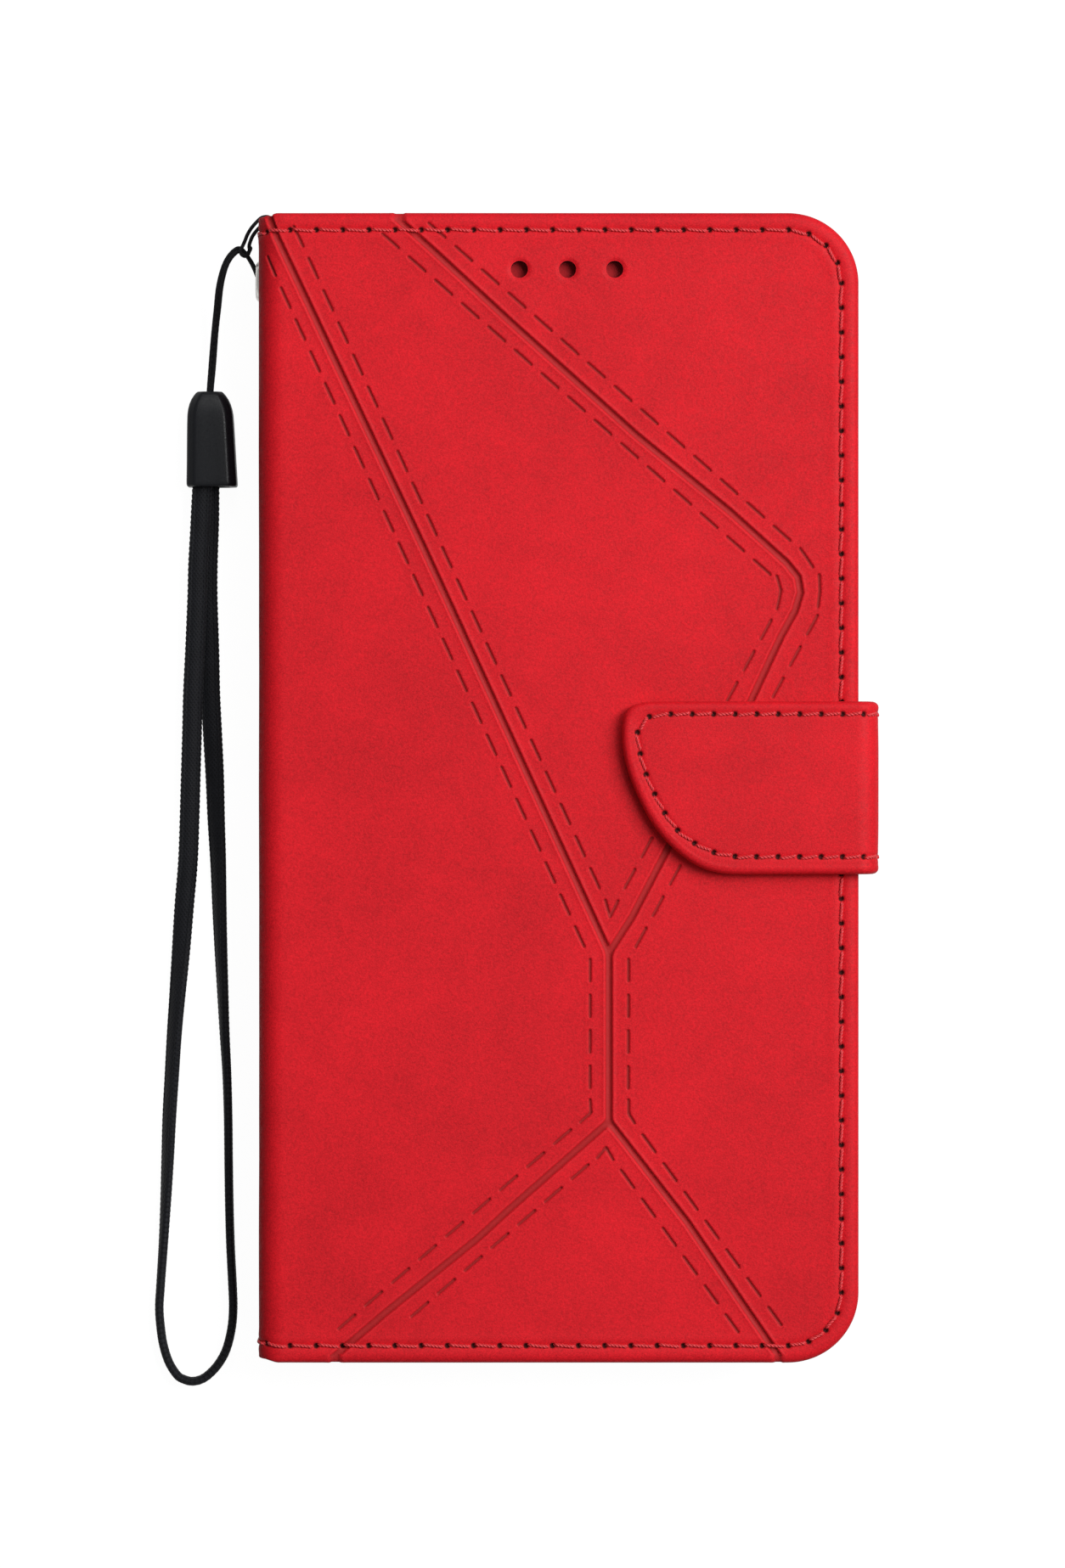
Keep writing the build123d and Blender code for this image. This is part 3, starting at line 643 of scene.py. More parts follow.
def slab(name, base, dirs, t, hfun, need, mapf, mats, rim=None, holes=(), hole_mat=None, flip=False, cut=None, rows=9,
         bottom_need=None, fade=0.35, tone=None, bottom_h=None, finest=0.2, taper=None, seed=3, extra=None, keep_clear=None,
         square=(1.0, 1.0)):
    """A padded leather slab: a worked upper face, a rounded edge and an under face, closed all round."""
    rim = t / 2 if rim is None else rim
    rim = np.full(len(base), rim) if np.ndim(rim) == 0 else rim
    top_loop = base + dirs * rim[:, None]
    holes = [np.asarray(h, float) for h in holes]
    lo, hi = top_loop.min(0), top_loop.max(0)
    pts = graded(lo, hi, need, finest=finest, seed=seed)
    if extra is not None:
        pts = np.vstack([pts[keep_clear(pts)], extra])
    P, tri = fill(top_loop, holes, pts)
    nb = len(base)
    h = hfun(P)
    tn = tone(P) if tone is not None else np.zeros(len(P))
    tt = np.full(len(P), t) if taper is None else taper(P)
    verts = [mapf(P[:, 0], P[:, 1], h)]
    tones = [tn]
    offset = len(P)
    quads, qm = [], []
    prev = np.arange(nb)
    hr = h[:nb]
    for k in range(1, rows):
        a = PI * k / (rows - 1)
        e = rim * (1 - math.sin(a) ** square[0])
        w = max(0.0, 1 - k / (rows * fade + 2.0))
        tl = t if taper is None else taper(base)
        nn = -tl / 2 + tl / 2 * math.copysign(abs(math.cos(a)) ** square[1], math.cos(a))
        dn = hr * w * max(math.cos(a), 0.0)
        de = -hr * w * math.sin(a)
        Q = base + dirs * (e + de)[:, None]
        if k < rows - 1:
            verts.append(mapf(Q[:, 0], Q[:, 1], nn + dn))
            tones.append(tn[:nb] * w)
            cur = offset + np.arange(nb); offset += nb
        else:
            # under face
            lowloop = base + dirs * rim[:, None]
            bn = bottom_need or (lambda q: np.clip(0.45 + 0.35 * dseg(q, segs(lowloop, True))[0], 0.4, 3.2))
            bp = graded(lo, hi, bn, finest=0.4, seed=seed + 1)
            P2, tri2 = fill(lowloop, holes, bp)
            hb = bottom_h(P2) if bottom_h is not None else 0.0
            t2 = t if taper is None else taper(P2)
            verts.append(mapf(P2[:, 0], P2[:, 1], -t2 + hb))
            tones.append(np.zeros(len(P2)))
            cur = offset + np.arange(nb)
            low = tri2[:, ::-1] + offset
            low_off = offset
            offset += len(P2)
        j = np.arange(nb); j2 = (j + 1) % nb
        quads.append(np.stack([prev[j2], prev[j], cur[j], cur[j2]], -1))
        prev = cur
    # walls of the holes
    b0, b1 = nb, nb
    wall_idx = []
    for hl in holes:
        m = len(hl)
        j = np.arange(m); j2 = (j + 1) % m
        a_, b_ = b0 + j, low_off + b0 + j
        mid = offset + j
        c = hl.mean(0)
        ring = c + (hl - c) * 1.0
        verts.append(mapf(ring[:, 0], ring[:, 1], np.full(m, -t / 2)))
        tones.append(np.zeros(m))
        offset += m
        wall_idx.append(np.stack([a_[j], a_[j2], mid[j2], mid[j]], -1))
        wall_idx.append(np.stack([mid[j], mid[j2], b_[j2], b_[j]], -1))
        b0 += m
    quads = np.vstack(quads)
    qm = np.zeros(len(quads), int)
    if wall_idx:
        wq = np.vstack(wall_idx)
        quads = np.vstack([quads, wq]); qm = np.r_[qm, np.full(len(wq), 0 if hole_mat is None else hole_mat)]
    tris = np.vstack([tri, low])
    V = np.vstack(verts)
    if flip:
        tris, quads = tris[:, ::-1], quads[:, ::-1]
    ob = mesh_obj(name, V, tris, quads, mats, tri_mat=np.zeros(len(tris), int), quad_mat=qm, attrs={"tone": np.concatenate(tones)})
    if cut is not None:
        mark_sharp(ob, [set(cut.tolist()), set((low_off + cut).tolist())])
    if wall_idx:
        hs = set(range(nb, b0)) | set(range(low_off + nb, low_off + b0))
        mark_sharp(ob, [hs])
    return ob


def mark_sharp(ob, groups):
    me = ob.data
    ev = np.zeros(len(me.edges) * 2, np.int32)
    me.edges.foreach_get("vertices", ev)
    ev = ev.reshape(-1, 2)
    a = me.attributes.get("sharp_edge") or me.attributes.new("sharp_edge", "BOOLEAN", "EDGE")
    val = np.zeros(len(me.edges), bool)
    a.data.foreach_get("value", val)
    for g in groups:
        gi = np.array(sorted(g))
        val |= np.isin(ev[:, 0], gi) & np.isin(ev[:, 1], gi)
    a.data.foreach_set("value", val)


def circle(cx, cy, r, n):
    a = np.linspace(0, 2 * PI, n, endpoint=False)
    return np.c_[cx + r * np.cos(a), cy + r * np.sin(a)]


def round_rect(x0, x1, y0, y1, r, n=10):
    out = []
    for cx, cy, a0 in ((x1 - r, y0 + r, -PI / 2), (x1 - r, y1 - r, 0), (x0 + r, y1 - r, PI / 2), (x0 + r, y0 + r, PI)):
        for a in np.linspace(a0, a0 + PI / 2, n):
            out.append((cx + r * math.cos(a), cy + r * math.sin(a)))
    return np.array(out)


SEAM_IN = 2.55
needles = seam_points(SEAM_IN, 3.85, 3.6, 2.9, P_MID + 0.5)
seam_path = segs(np.array(needles))
EARS = [(-5.68, 75.7), (1.35, 75.7), (8.23, 75.7)]
ears = [circle(x, y, 1.25, 40) for x, y in EARS]
CAM_HOLE = round_rect(3.5, 36.5, 40, 76, 7, 16)
FULL = True
FINE = 0.25 if FULL else 0.4


def seam_height(P, d_edge_fn=None):
    d, _ = dseg(P, seam_path)
    h = -0.17 * np.exp(-(d / 0.42) ** 2) + 0.05 * np.exp(-((d - 1.1) / 0.5) ** 2)
    dn = dpts(P, needles)
    h -= 0.50 * (1 - smoothstep(0.16, 0.50, dn))
    return h, d, dn


GW0, GW1 = 0.41, 0.53                   # half widths of a groove's flat floor and of its mouth
DW0, DW1 = 0.13, 0.26                   # the same for a dash


def front_height(P):
    h, d, dn = seam_height(P)
    g, _ = dseg(P, groove_segs)
    gh = -0.44 * (1 - smoothstep(GW0 - 0.01, GW1 + 0.01, g)) + 0.085 * np.exp(-((g - 0.70) / 0.17) ** 2) * smoothstep(GW1, GW1 + 0.1, g)
    q, _ = dseg(P, dash_segs)
    qh = -0.34 * (1 - smoothstep(DW0 - 0.01, DW1 + 0.01, q)) + 0.03 * np.exp(-((q - 0.42) / 0.14) ** 2)
    e = dpts(P, np.array(EARS)) - 1.25
    eh = -0.20 * (1 - smoothstep(0.0, 0.5, e))
    soft = 0.034 * value_noise(P, 17.0, 5) + 0.012 * value_noise(P, 6.0, 6)
    return h + gh + qh + eh + soft


def front_painted_light(P):
    _, d, dn = seam_height(P)
    g, _ = dseg(P, groove_segs)
    q, _ = dseg(P, dash_segs)
    # painted shade: groove floors 0.8, dash slits 1.12, needle holes 2.0 (near black)
    tn = 0.80 * (1 - smoothstep(GW0, GW1, g))
    tn = np.maximum(tn, 1.12 * (1 - smoothstep(DW0 + 0.02, DW1 + 0.02, q)))
    tn = np.maximum(tn, 2.0 * (1 - smoothstep(0.30, 0.52, dn)))
    # painted highlight: a negative tone along the ridges beside the grooves
    tn -= 0.28 * np.exp(-((g - 0.72) / 0.17) ** 2) * (tn < 0.1)
    return tn


def front_extra():
    E = [offset_lines(g, (-GW1, -GW0, 0.0, GW0, GW1, -0.70, 0.70, -0.90, 0.90, -1.12, 1.12), 0.5) for g in GROOVES]
    E = np.vstack(E)
    g = dseg(E, groove_segs)[0]
    E = E[(np.abs(g - 0.0) < 0.03) | (np.abs(g - GW0) < 0.03) | (np.abs(g - GW1) < 0.03) | (np.abs(g - 0.70) < 0.04) | (np.abs(g - 0.90) < 0.05) | (np.abs(g - 1.12) < 0.05)]
    F = []
    for sg in dash_segs:
        a, b = np.array(sg[:2]), np.array(sg[2:])
        u = (b - a) / (np.linalg.norm(b - a) + 1e-9)
        for w, st in ((DW0, 0.27), (DW1, 0.27), (0.42, 0.40)):
            F.append(offset_lines([a, b], (-w, w), st))
            an = np.linspace(-PI / 2, PI / 2, 5)
            for c, sg_ in ((b, 1), (a, -1)):
                F.append(np.array([c + w * sg_ * (u * math.cos(x) + np.array([-u[1], u[0]]) * math.sin(x)) for x in an]))
    F = np.vstack(F)
    q = dseg(F, dash_segs)[0]
    F = F[(np.abs(q - DW0) < 0.012) | (np.abs(q - DW1) < 0.012) | (np.abs(q - 0.42) < 0.02)]
    F = F[dseg(F, groove_segs)[0] > 1.2]
    X = np.vstack([E, F])
    # needle holes get their own rings
    Nn = []
    for c in needles:
        for r_, n_ in ((0.18, 7), (0.34, 11), (0.50, 14), (0.68, 16)):
            Nn.append(circle(c[0], c[1], r_, n_))
        Nn.append(np.array([c]))
    Nn = np.vstack(Nn)
    X = X[dpts(X, needles) > 0.75]
    X = np.vstack([X, Nn])
    # thin out points that fell almost on each other
    k = np.round(X / 0.05).astype(np.int64)
    _, first = np.unique(k[:, 0] * 1000003 + k[:, 1], return_index=True)
    return X[np.sort(first)]


def front_clear(P):
    return (dseg(P, groove_segs)[0] > 1.26) & (dseg(P, dash_segs)[0] > 0.55) & (dpts(P, needles) > 0.8)


def back_extra():
    Nn = []
    for c in needles:
        for r_, n_ in ((0.18, 7), (0.34, 11), (0.50, 14), (0.68, 16)):
            Nn.append(circle(c[0], c[1], r_, n_))
        Nn.append(np.array([c]))
    return np.vstack(Nn)


def back_clear(P):
    return dpts(P, needles) > 0.8


def back_height(P):
    h, d, dn = seam_height(P)
    c = dseg(P, segs(CAM_HOLE, True))[0]
    h += -0.35 * (1 - smoothstep(0.0, 0.8, c))
    return h + 0.030 * value_noise(P, 17.0, 15) + 0.012 * value_noise(P, 6.0, 16)


def back_painted_shade(P):
    _, d, dn = seam_height(P)
    # painted shade in the needle holes
    return 2.0 * (1 - smoothstep(0.30, 0.52, dn))


def need_front(P):
    d = np.minimum(dseg(P, groove_segs)[0] - 1.0, dseg(P, dash_segs)[0] - 0.4)
    d = np.maximum(d, 0.4)
    d = np.minimum(d, dseg(P, seam_path)[0] - 0.3)
    d = np.minimum(d, np.abs(dpts(P, np.array(EARS)) - 1.25) - 0.3)
    bend = np.where(P[:, 0] < XC + 1.0, 0.8, 9.0)
    return np.minimum(np.clip(FINE + 0.42 * np.maximum(d, 0), FINE, 2.2), bend)


def need_back(P):
    d = dseg(P, seam_path)[0] - 0.3
    d = np.minimum(d, dseg(P, segs(CAM_HOLE, True))[0] - 0.5)
    bend = np.where(P[:, 0] < XC + 1.0, 0.8, 9.0)
    return np.minimum(np.clip(FINE + 0.42 * np.maximum(d, 0), FINE, 2.2), bend)


def need_under(loop):
    S = segs(loop, True)

    def f(q):
        bend = np.where(q[:, 0] < XC + 1.0, 0.8, 9.0)
        return np.minimum(np.clip(0.45 + 0.35 * dseg(q, S)[0], 0.4, 3.2), bend)
    return f


base, dirs, cut = cover_loop()
RIM = 0.36 + (TH / 2 - 0.36) * smoothstep(XC - 3.0, XC + 7.0, base[:, 0])
low = base + dirs * RIM[:, None]
# the ear holes' walls take the second material, a painted shade
skin_front = slab("skin_front", base, dirs, TH, front_height, need_front, lambda p, y, n: fold(p, y, n), [LEATHER, CUT_EDGE_SHADE],
                  holes=ears, hole_mat=1, cut=cut, tone=front_painted_light, bottom_need=need_under(low), extra=front_extra(), keep_clear=front_clear, rim=RIM)
skin_back = slab("skin_back", base, dirs, TH, back_height, need_back, lambda p, y, n: fold(p, y, n, True), [LEATHER, LEATHER],
                 holes=[CAM_HOLE], hole_mat=0, cut=cut, tone=back_painted_shade, bottom_need=need_under(low), flip=True,
                 extra=back_extra(), keep_clear=back_clear, rim=RIM)
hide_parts("front_leather", "front_board", "front_catch_plate")
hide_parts("back_leather", "back_board", "closure_anchor_tongue")
print("skins", len(skin_front.data.polygons), len(skin_back.data.polygons))

# ------------------------------------------------------------------ linings of the covers
LIN_IN = 1.7
lb, ld, lcut = cover_loop(inset=LIN_IN, step=0.6, notch=True)


def lining_height(P):
    d, _ = dseg(P, seam_path)
    return -0.07 * np.exp(-(d / 0.4) ** 2) + 0.02 * value_noise(P, 9.0, 8)


def need_lin(P):
    d = dseg(P, seam_path)[0] - 0.3
    bend = np.where(P[:, 0] < XC + 1.0, 0.7, 9.0)
    return np.minimum(np.clip(0.4 + 0.42 * np.maximum(d, 0), 0.4, 3.2), bend)


LT = 0.2


def lin_map(back):
    # the lining's worked face looks inwards, so its outward normal is the cover's inward one
    return lambda p, y, n: fold(p, y, -TH - LT + 0.02 - np.asarray(n), back)


lining_front = slab("lining_front", lb, ld, LT, lining_height, need_lin, lin_map(False), [LINING], rows=5, finest=0.4, cut=lcut, flip=True)
lining_back = slab("lining_back", lb, ld, LT, lining_height, need_lin, lin_map(True), [LINING], rows=5, finest=0.4, cut=lcut, flip=False,
                   holes=[CAM_HOLE], hole_mat=0)
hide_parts("front_lining")
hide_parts("back_lining", "spine_leather", "spine_board", "spine_lining")

# ------------------------------------------------------------------ twisted thread
def tube(path, rad, sides=6, caps=True, frame_up=None, squash_=None):
    """Tube round a path: V, quads, tris."""
    path = np.asarray(path, float)
    n = len(path)
    rad = np.full(n, rad) if np.ndim(rad) == 0 else np.asarray(rad)
    tan = np.gradient(path, axis=0)
    tan /= np.linalg.norm(tan, axis=1)[:, None] + 1e-12
    up = np.array([0.0, 0.0, 1.0]) if frame_up is None else np.asarray(frame_up, float)
    us = np.zeros((n, 3))
    u = up - tan[0] * (up @ tan[0])
    if np.linalg.norm(u) < 1e-3:
        u = np.array([1.0, 0.0, 0.0]) - tan[0] * tan[0][0]
    u /= np.linalg.norm(u)
    for i in range(n):
        u = u - tan[i] * (u @ tan[i])
        u /= np.linalg.norm(u) + 1e-12
        us[i] = u
    vs = np.cross(tan, us)
    a = np.linspace(0, 2 * PI, sides, endpoint=False)
    V = path[:, None] + rad[:, None, None] * (np.cos(a)[None, :, None] * us[:, None] + np.sin(a)[None, :, None] * vs[:, None])
    V = V.reshape(-1, 3)
    q = grid_quads(n, sides, 0, True)
    t = []
    if caps:
        V = np.vstack([V, path[:1] - tan[:1] * rad[0] * 0.5, path[-1:] + tan[-1:] * rad[-1] * 0.5])
        c0, c1 = n * sides, n * sides + 1
        j = np.arange(sides); j2 = (j + 1) % sides
        t = np.vstack([np.c_[np.full(sides, c0), j2, j], np.c_[np.full(sides, c1), (n - 1) * sides + j, (n - 1) * sides + j2]])
    return V, q, np.asarray(t, int).reshape(-1, 3)


class Build:
    def __init__(self):
        self.V, self.Q, self.T, self.n = [], [], [], 0

    def add(self, V, q, t):
        self.V.append(V); self.Q.append(np.asarray(q, int).reshape(-1, 4) + self.n); self.T.append(np.asarray(t, int).reshape(-1, 3) + self.n)
        self.n += len(V)

    def obj(self, name, mats, flip=False, **kw):
        Q, T_ = np.vstack(self.Q), np.vstack(self.T)
        if flip:
            Q, T_ = Q[:, ::-1], T_[:, ::-1]
        return mesh_obj(name, np.vstack(self.V), T_, Q, mats, **kw)


def stitches(B, holes, mapf, surf, slant=0.16, lift=0.12, sink=0.45, r=0.158, gap=0.60, closed=False, rng_seed=4, nrm=1.0, rows=15, flipz=1.0):
    """One two-ply stitch between each pair of neighbouring holes, on the surface n = surf + height."""
    rg = np.random.default_rng(rng_seed)
    H = np.asarray(holes, float)
    m = len(H) if closed else len(H) - 1
    for i in range(m):
        a, b = H[i], H[(i + 1) % len(H)]
        L = math.dist(a, b)
        if L < 0.8:
            continue
        u = (b - a) / L
        side = np.array([-u[1], u[0]])
        t = np.linspace(0, 1, rows)
        tt = 0.20 / L + t * (1 - (gap - 0.05) / L)
        sl = slant * (1 + rg.uniform(-0.3, 0.3)) * (tt - 0.5) * 2
        bow = 0.04 * rg.uniform(-1, 1) * np.sin(PI * t)
        c2 = a + np.outer(tt, b - a) + np.outer(sl + bow, side)
        rise = np.minimum(1, np.minimum(t, 1 - t) / 0.16)
        rise = np.sin(rise * PI / 2)
        hgt = surf + (-sink + (sink + lift) * rise) * nrm
        hgt = hgt + rg.uniform(-0.02, 0.02)
        tw = t * L / 1.25 * 2 * PI + rg.uniform(0, 6.28)
        for ph in (0, PI):
            off = 0.130 * np.cos(tw + ph)
            oz = 0.10 * np.sin(tw + ph)
            pts = mapf(c2[:, 0] + off * side[0], c2[:, 1] + off * side[1], hgt + oz)
            rr = r * (0.75 + 0.25 * rise)
            B.add(*tube(pts, rr, 6))


B = Build(); stitches(B, needles, lambda p, y, n: fold(p, y, n), 0.0 - 0.10, slant=-0.17)
thread_front = B.obj("thread_front", [THREAD])
B = Build(); stitches(B, needles, lambda p, y, n: fold(p, y, n, True), 0.0 - 0.10, slant=-0.17, rng_seed=9)
thread_back = B.obj("thread_back", [THREAD])
B = Build(); stitches(B, needles, lambda p, y, n: fold(p, y, n), -TH - LT + 0.02, nrm=-1.0, lift=0.05, rng_seed=11)
thread_front_inner = B.obj("thread_front_inner", [THREAD])
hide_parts("front_seam_thread")
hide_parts("back_seam_thread")

# ------------------------------------------------------------------ closure strap: one padded band from the back cover's edge, round and over the front
XB, ZF, RB, ZB = 43.77, fp_hi[2], 2.9, 3.6
WALL = (ZF - RB) - ZB
P_TOP = XB + RB * PI / 2                   # start of the wall
P_LOW = P_TOP + WALL                       # end of the wall
P_END = P_LOW + 2.75 * PI / 2 + 1.3        # end inside the back cover
BT = fp_hi[2] - mmbox("flap_lining")[0][2]  # band thickness
BH = 12.6


def band_map(p, y, n):
    p, y, n = np.broadcast_arrays(np.asarray(p, float), np.asarray(y, float), np.asarray(n, float))
    s = p - XB
    phi = np.clip(s / RB, 0, PI / 2)
    s2 = p - P_LOW
    ph2 = np.clip(s2 / 2.75, 0, PI / 2)
    x = np.where(s <= 0, p, XB + (RB + n) * np.sin(phi))
    z = np.where(s <= 0, ZF + n, ZF - RB + (RB + n) * np.cos(phi))
    wall = s > RB * PI / 2
    x = np.where(wall, XB + RB + n, x)
    z = np.where(wall, ZF - RB - (s - RB * PI / 2), z)
    low = s2 > 0
    x = np.where(low, XB + (RB + n) * np.cos(ph2), x)
    z = np.where(low, ZB - (2.62 + n) * np.sin(ph2), z)
    tail = s2 > 2.75 * PI / 2
    x = np.where(tail, XB - (s2 - 2.75 * PI / 2), x)
    z = np.where(tail, ZB - 2.62 - n, z)
    return np.stack([x, y, z], -1)


def band_t(P):
    s2 = P[:, 0] - P_LOW
    return BT - (BT - 1.05) * smoothstep(-1.5, 4.0, s2)


FLAP = [(43.0, 12.6), (30.0, 12.6), (18.2, 12.6), (14.6, 12.58), (12.5, 12.45), (10.95, 12.0), (9.95, 11.2), (9.42, 9.95), (9.27, 7.8), (9.45, 5.31), (10.2, 2.22),
        (11.42, -0.87), (13.28, -4.56), (15.6, -7.65), (18.1, -9.95), (20.9, -11.65), (23.9, -12.45), (27.0, -12.6), (31.0, -12.6), (43.0, -12.6)]
SEAM_UP, SEAM_DN = 10.72, 10.05
FSEAM = [(43.0, SEAM_UP), (30.0, SEAM_UP), (18.2, SEAM_UP), (15.2, 10.68), (13.6, 10.45), (12.35, 9.95), (11.62, 9.0), (11.48, 7.6), (11.72, 5.9), (12.22, 3.47), (13.64, -0.25),
         (16.12, -4.75), (18.6, -7.30), (21.9, -9.15), (25.1, -9.95), (28.5, -SEAM_DN), (33.0, -SEAM_DN), (43.0, -SEAM_DN)]
ftip = resample(catmull(FLAP, 8), 0.3)[::-1]     # from lower right round the tip to upper right: clockwise seen from outside
fseam = catmull(FSEAM, 8)


def band_loop(p0, p1, tip):
    """Outline of one half of the band, anticlockwise, between flat positions p0 < p1."""
    pts = []
    if tip:
        tp = ftip[::-1]                       # upper right -> tip -> lower right
        pts += [tuple(q) for q in tp]
        n = int((p1 - 43.0) / 0.3)
        pts += [(43.0 + (p1 - 43.0) * k / n, -BH) for k in range(1, n)]
        i0 = len(pts)
        m = 60
        pts += [(p1, -BH + 2 * BH * k / m) for k in range(m + 1)]
        i1 = len(pts)
        pts += [(p1 - (p1 - 43.0) * k / n, BH) for k in range(1, n)]
        ends = [np.arange(i0, i1)]
    else:
        n = int((p1 - p0) / 0.3); m = 60
        pts += [(p0 + (p1 - p0) * k / n, -BH) for k in range(1, n)]
        i0 = len(pts)
        pts += [(p1, -BH + 2 * BH * k / m) for k in range(m + 1)]
        i1 = len(pts)
        pts += [(p1 - (p1 - p0) * k / n, BH) for k in range(1, n)]
        i2 = len(pts)
        pts += [(p0, BH - 2 * BH * k / m) for k in range(m + 1)]
        ends = [np.arange(i0, i1), np.arange(i2, len(pts))]
    B_ = np.array(pts)
    nx = np.roll(B_, -1, 0) - np.roll(B_, 1, 0)
    nx /= np.linalg.norm(nx, axis=1)[:, None]
    D_ = np.c_[-nx[:, 1], nx[:, 0]]
    for e in ends:
        y = B_[e, 1]
        D_[e] = np.c_[np.zeros(len(e)), -np.sign(y) * smoothstep(BH - 4.5, BH, np.abs(y))]
    return B_, D_, ends


P_SPLIT = P_TOP + 7.0
fs_pts = resample(np.vstack([[(P_LOW + 1.0, SEAM_UP)], fseam, [(P_LOW + 1.0, -SEAM_DN)]]), 3.15)
band_seam = segs(np.vstack([[(P_END, SEAM_UP)], fseam, [(P_END, -SEAM_DN)]]))
band_edge = segs(np.vstack([[(P_END + 2, BH)], catmull(FLAP, 8), [(P_END + 2, -BH)]]))


def band_height(P):
    d, _ = dseg(P, band_seam)
    ed = dseg(P, band_edge)[0]
    h = -0.15 * np.exp(-(d / 0.38) ** 2) + 0.085 * np.exp(-((ed - 1.02) / 0.15) ** 2)
    dn = dpts(P, fs_pts)
    h -= 0.45 * (1 - smoothstep(0.18, 0.52, dn))
    inner = smoothstep(2.6, 7.5, BH - np.abs(P[:, 1]))
    return h + 0.06 * inner + 0.03 * value_noise(P, 7.0, 21)


def band_painted_shade(P):
    dn = dpts(P, fs_pts)
    # painted shade in the needle holes
    return 2.0 * (1 - smoothstep(0.30, 0.52, dn))


def need_band(P):
    d = np.minimum(dseg(P, band_seam)[0] - 0.5, np.abs(dseg(P, band_edge)[0] - 1.0) - 0.2)
    return np.clip(FINE + 0.4 * np.maximum(d, 0), FINE, 0.9)


def band_extra():
    Nn = []
    for c in fs_pts:
        for r_, n_ in ((0.18, 7), (0.34, 11), (0.50, 14), (0.68, 16)):
            Nn.append(circle(c[0], c[1], r_, n_))
        Nn.append(np.array([c]))
    return np.vstack(Nn)


def band_clear(P):
    return dpts(P, fs_pts) > 0.8


fb, fd, fends = band_loop(0, P_SPLIT, True)
strap_flap = slab("strap_flap", fb, fd, BT, band_height, need_band, band_map, [LEATHER], rim=0.9, square=(0.9, 0.75), taper=band_t, tone=band_painted_shade, cut=fends[0],
                  bottom_need=lambda q: np.full(len(q), 0.8), rows=11, extra=band_extra(), keep_clear=band_clear)
rb_, rd_, rends = band_loop(P_SPLIT, P_END, False)
strap_root = slab("strap_root", rb_, rd_, BT, band_height, need_band, band_map, [LEATHER], rim=0.9, square=(0.9, 0.75), taper=band_t, tone=band_painted_shade, cut=rends[1],
                  bottom_need=lambda q: np.full(len(q), 0.8), rows=11, extra=band_extra(), keep_clear=band_clear)
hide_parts("flap_outer", "flap_core", "flap_lining", "flap_magnet")
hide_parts("strap_side_outer", "strap_side_lining")
split_x = fs_pts[:, 0] > P_SPLIT
k_up = [i for i in range(len(fs_pts)) if fs_pts[i, 0] <= P_SPLIT + 0.3]
upper = fs_pts[k_up]
B = Build(); stitches(B, upper, band_map, -0.17, slant=0.2, rng_seed=21)
thread_flap = B.obj("thread_flap", [THREAD])
lowa = fs_pts[:k_up[0] + 1]; lowb = fs_pts[k_up[-1]:]
B = Build(); stitches(B, lowa, band_map, -0.17, slant=0.2, rng_seed=22); stitches(B, lowb, band_map, -0.17, slant=0.2, rng_seed=23)
thread_root = B.obj("thread_root", [THREAD])
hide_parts("flap_seam_thread")
# outline of the flap, resampled for a lining patch under it; no patch is built from it
lpn = resample(np.vstack([catmull([(q[0], q[1]) for q in FLAP], 4), [(43.0, -12.6)]]), 0.6)


def inset_poly(poly, d):
    P_ = np.asarray(poly, float)
    nx = np.roll(P_, -1, 0) - np.roll(P_, 1, 0)
    nx /= np.linalg.norm(nx, axis=1)[:, None] + 1e-12
    return P_ + np.c_[-nx[:, 1], nx[:, 0]] * d


# ------------------------------------------------------------------ eyelet: rolled flange, barrel and a spread washer inside
def lathe(name, profile, centre, axis, mats, n=72):
    """Closed profile of (along, radius) turned about axis through centre."""
    axis = np.asarray(axis, float); c = np.asarray(centre, float)
    u = np.array([0, 1.0, 0]) if abs(axis[1]) < 0.9 else np.array([1.0, 0, 0])
    u = u - axis * (u @ axis); u /= np.linalg.norm(u); v = np.cross(axis, u)
    a = np.linspace(0, 2 * PI, n, endpoint=False)
    pr = np.asarray(profile, float)
    V = c + pr[:, None, 0:1] * axis + pr[:, None, 1:2] * (np.cos(a)[None, :, None] * u + np.sin(a)[None, :, None] * v)
    V = V.reshape(-1, 3)
    m = len(pr)
    i, j = np.meshgrid(np.arange(m), np.arange(n), indexing="ij")
    i2, j2 = (i + 1) % m, (j + 1) % n
    q = np.stack([i * n + j, i * n + j2, i2 * n + j2, i2 * n + j], -1).reshape(-1, 4)
    return mesh_obj(name, V, None, q, mats)


ey_c = np.array([X0, (ey_lo[1] + ey_hi[1]) / 2, (ey_lo[2] + ey_hi[2]) / 2])
ey_r = (ey_hi[1] - ey_lo[1]) / 2
prof = []
for a in np.linspace(-PI * 0.5, PI * 0.5, 12):            # rolled flange, domed outwards
    prof.append((0.02 + 0.62 * max(0, math.cos(a)) ** 0.8, (ey_r + 1.9) / 2 + (ey_r - 1.9) / 2 * math.sin(a)))
prof = [(0.0, ey_r)] + [(0.02 + 0.6 * math.sin(a), ey_r - 0.62 + 0.62 * math.cos(a)) for a in np.linspace(0.15, PI / 2, 6)] + \
       [(0.62, 2.55), (0.50, 2.15), (0.25, 1.92), (-0.2, 1.80), (-2.35, 1.80), (-2.62, 1.95), (-2.75, 2.3), (-2.70, 2.75), (-2.52, 2.9), (-2.46, 2.6), (-2.4, 2.3), (-0.12, 2.3), (-0.05, 2.5)]
eyelet = lathe("eyelet_ring", [(-a, r) for a, r in prof][::-1], ey_c, (1, 0, 0), [NICKEL])
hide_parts("eyelet", "eyelet_washer")
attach(eyelet, "spine")

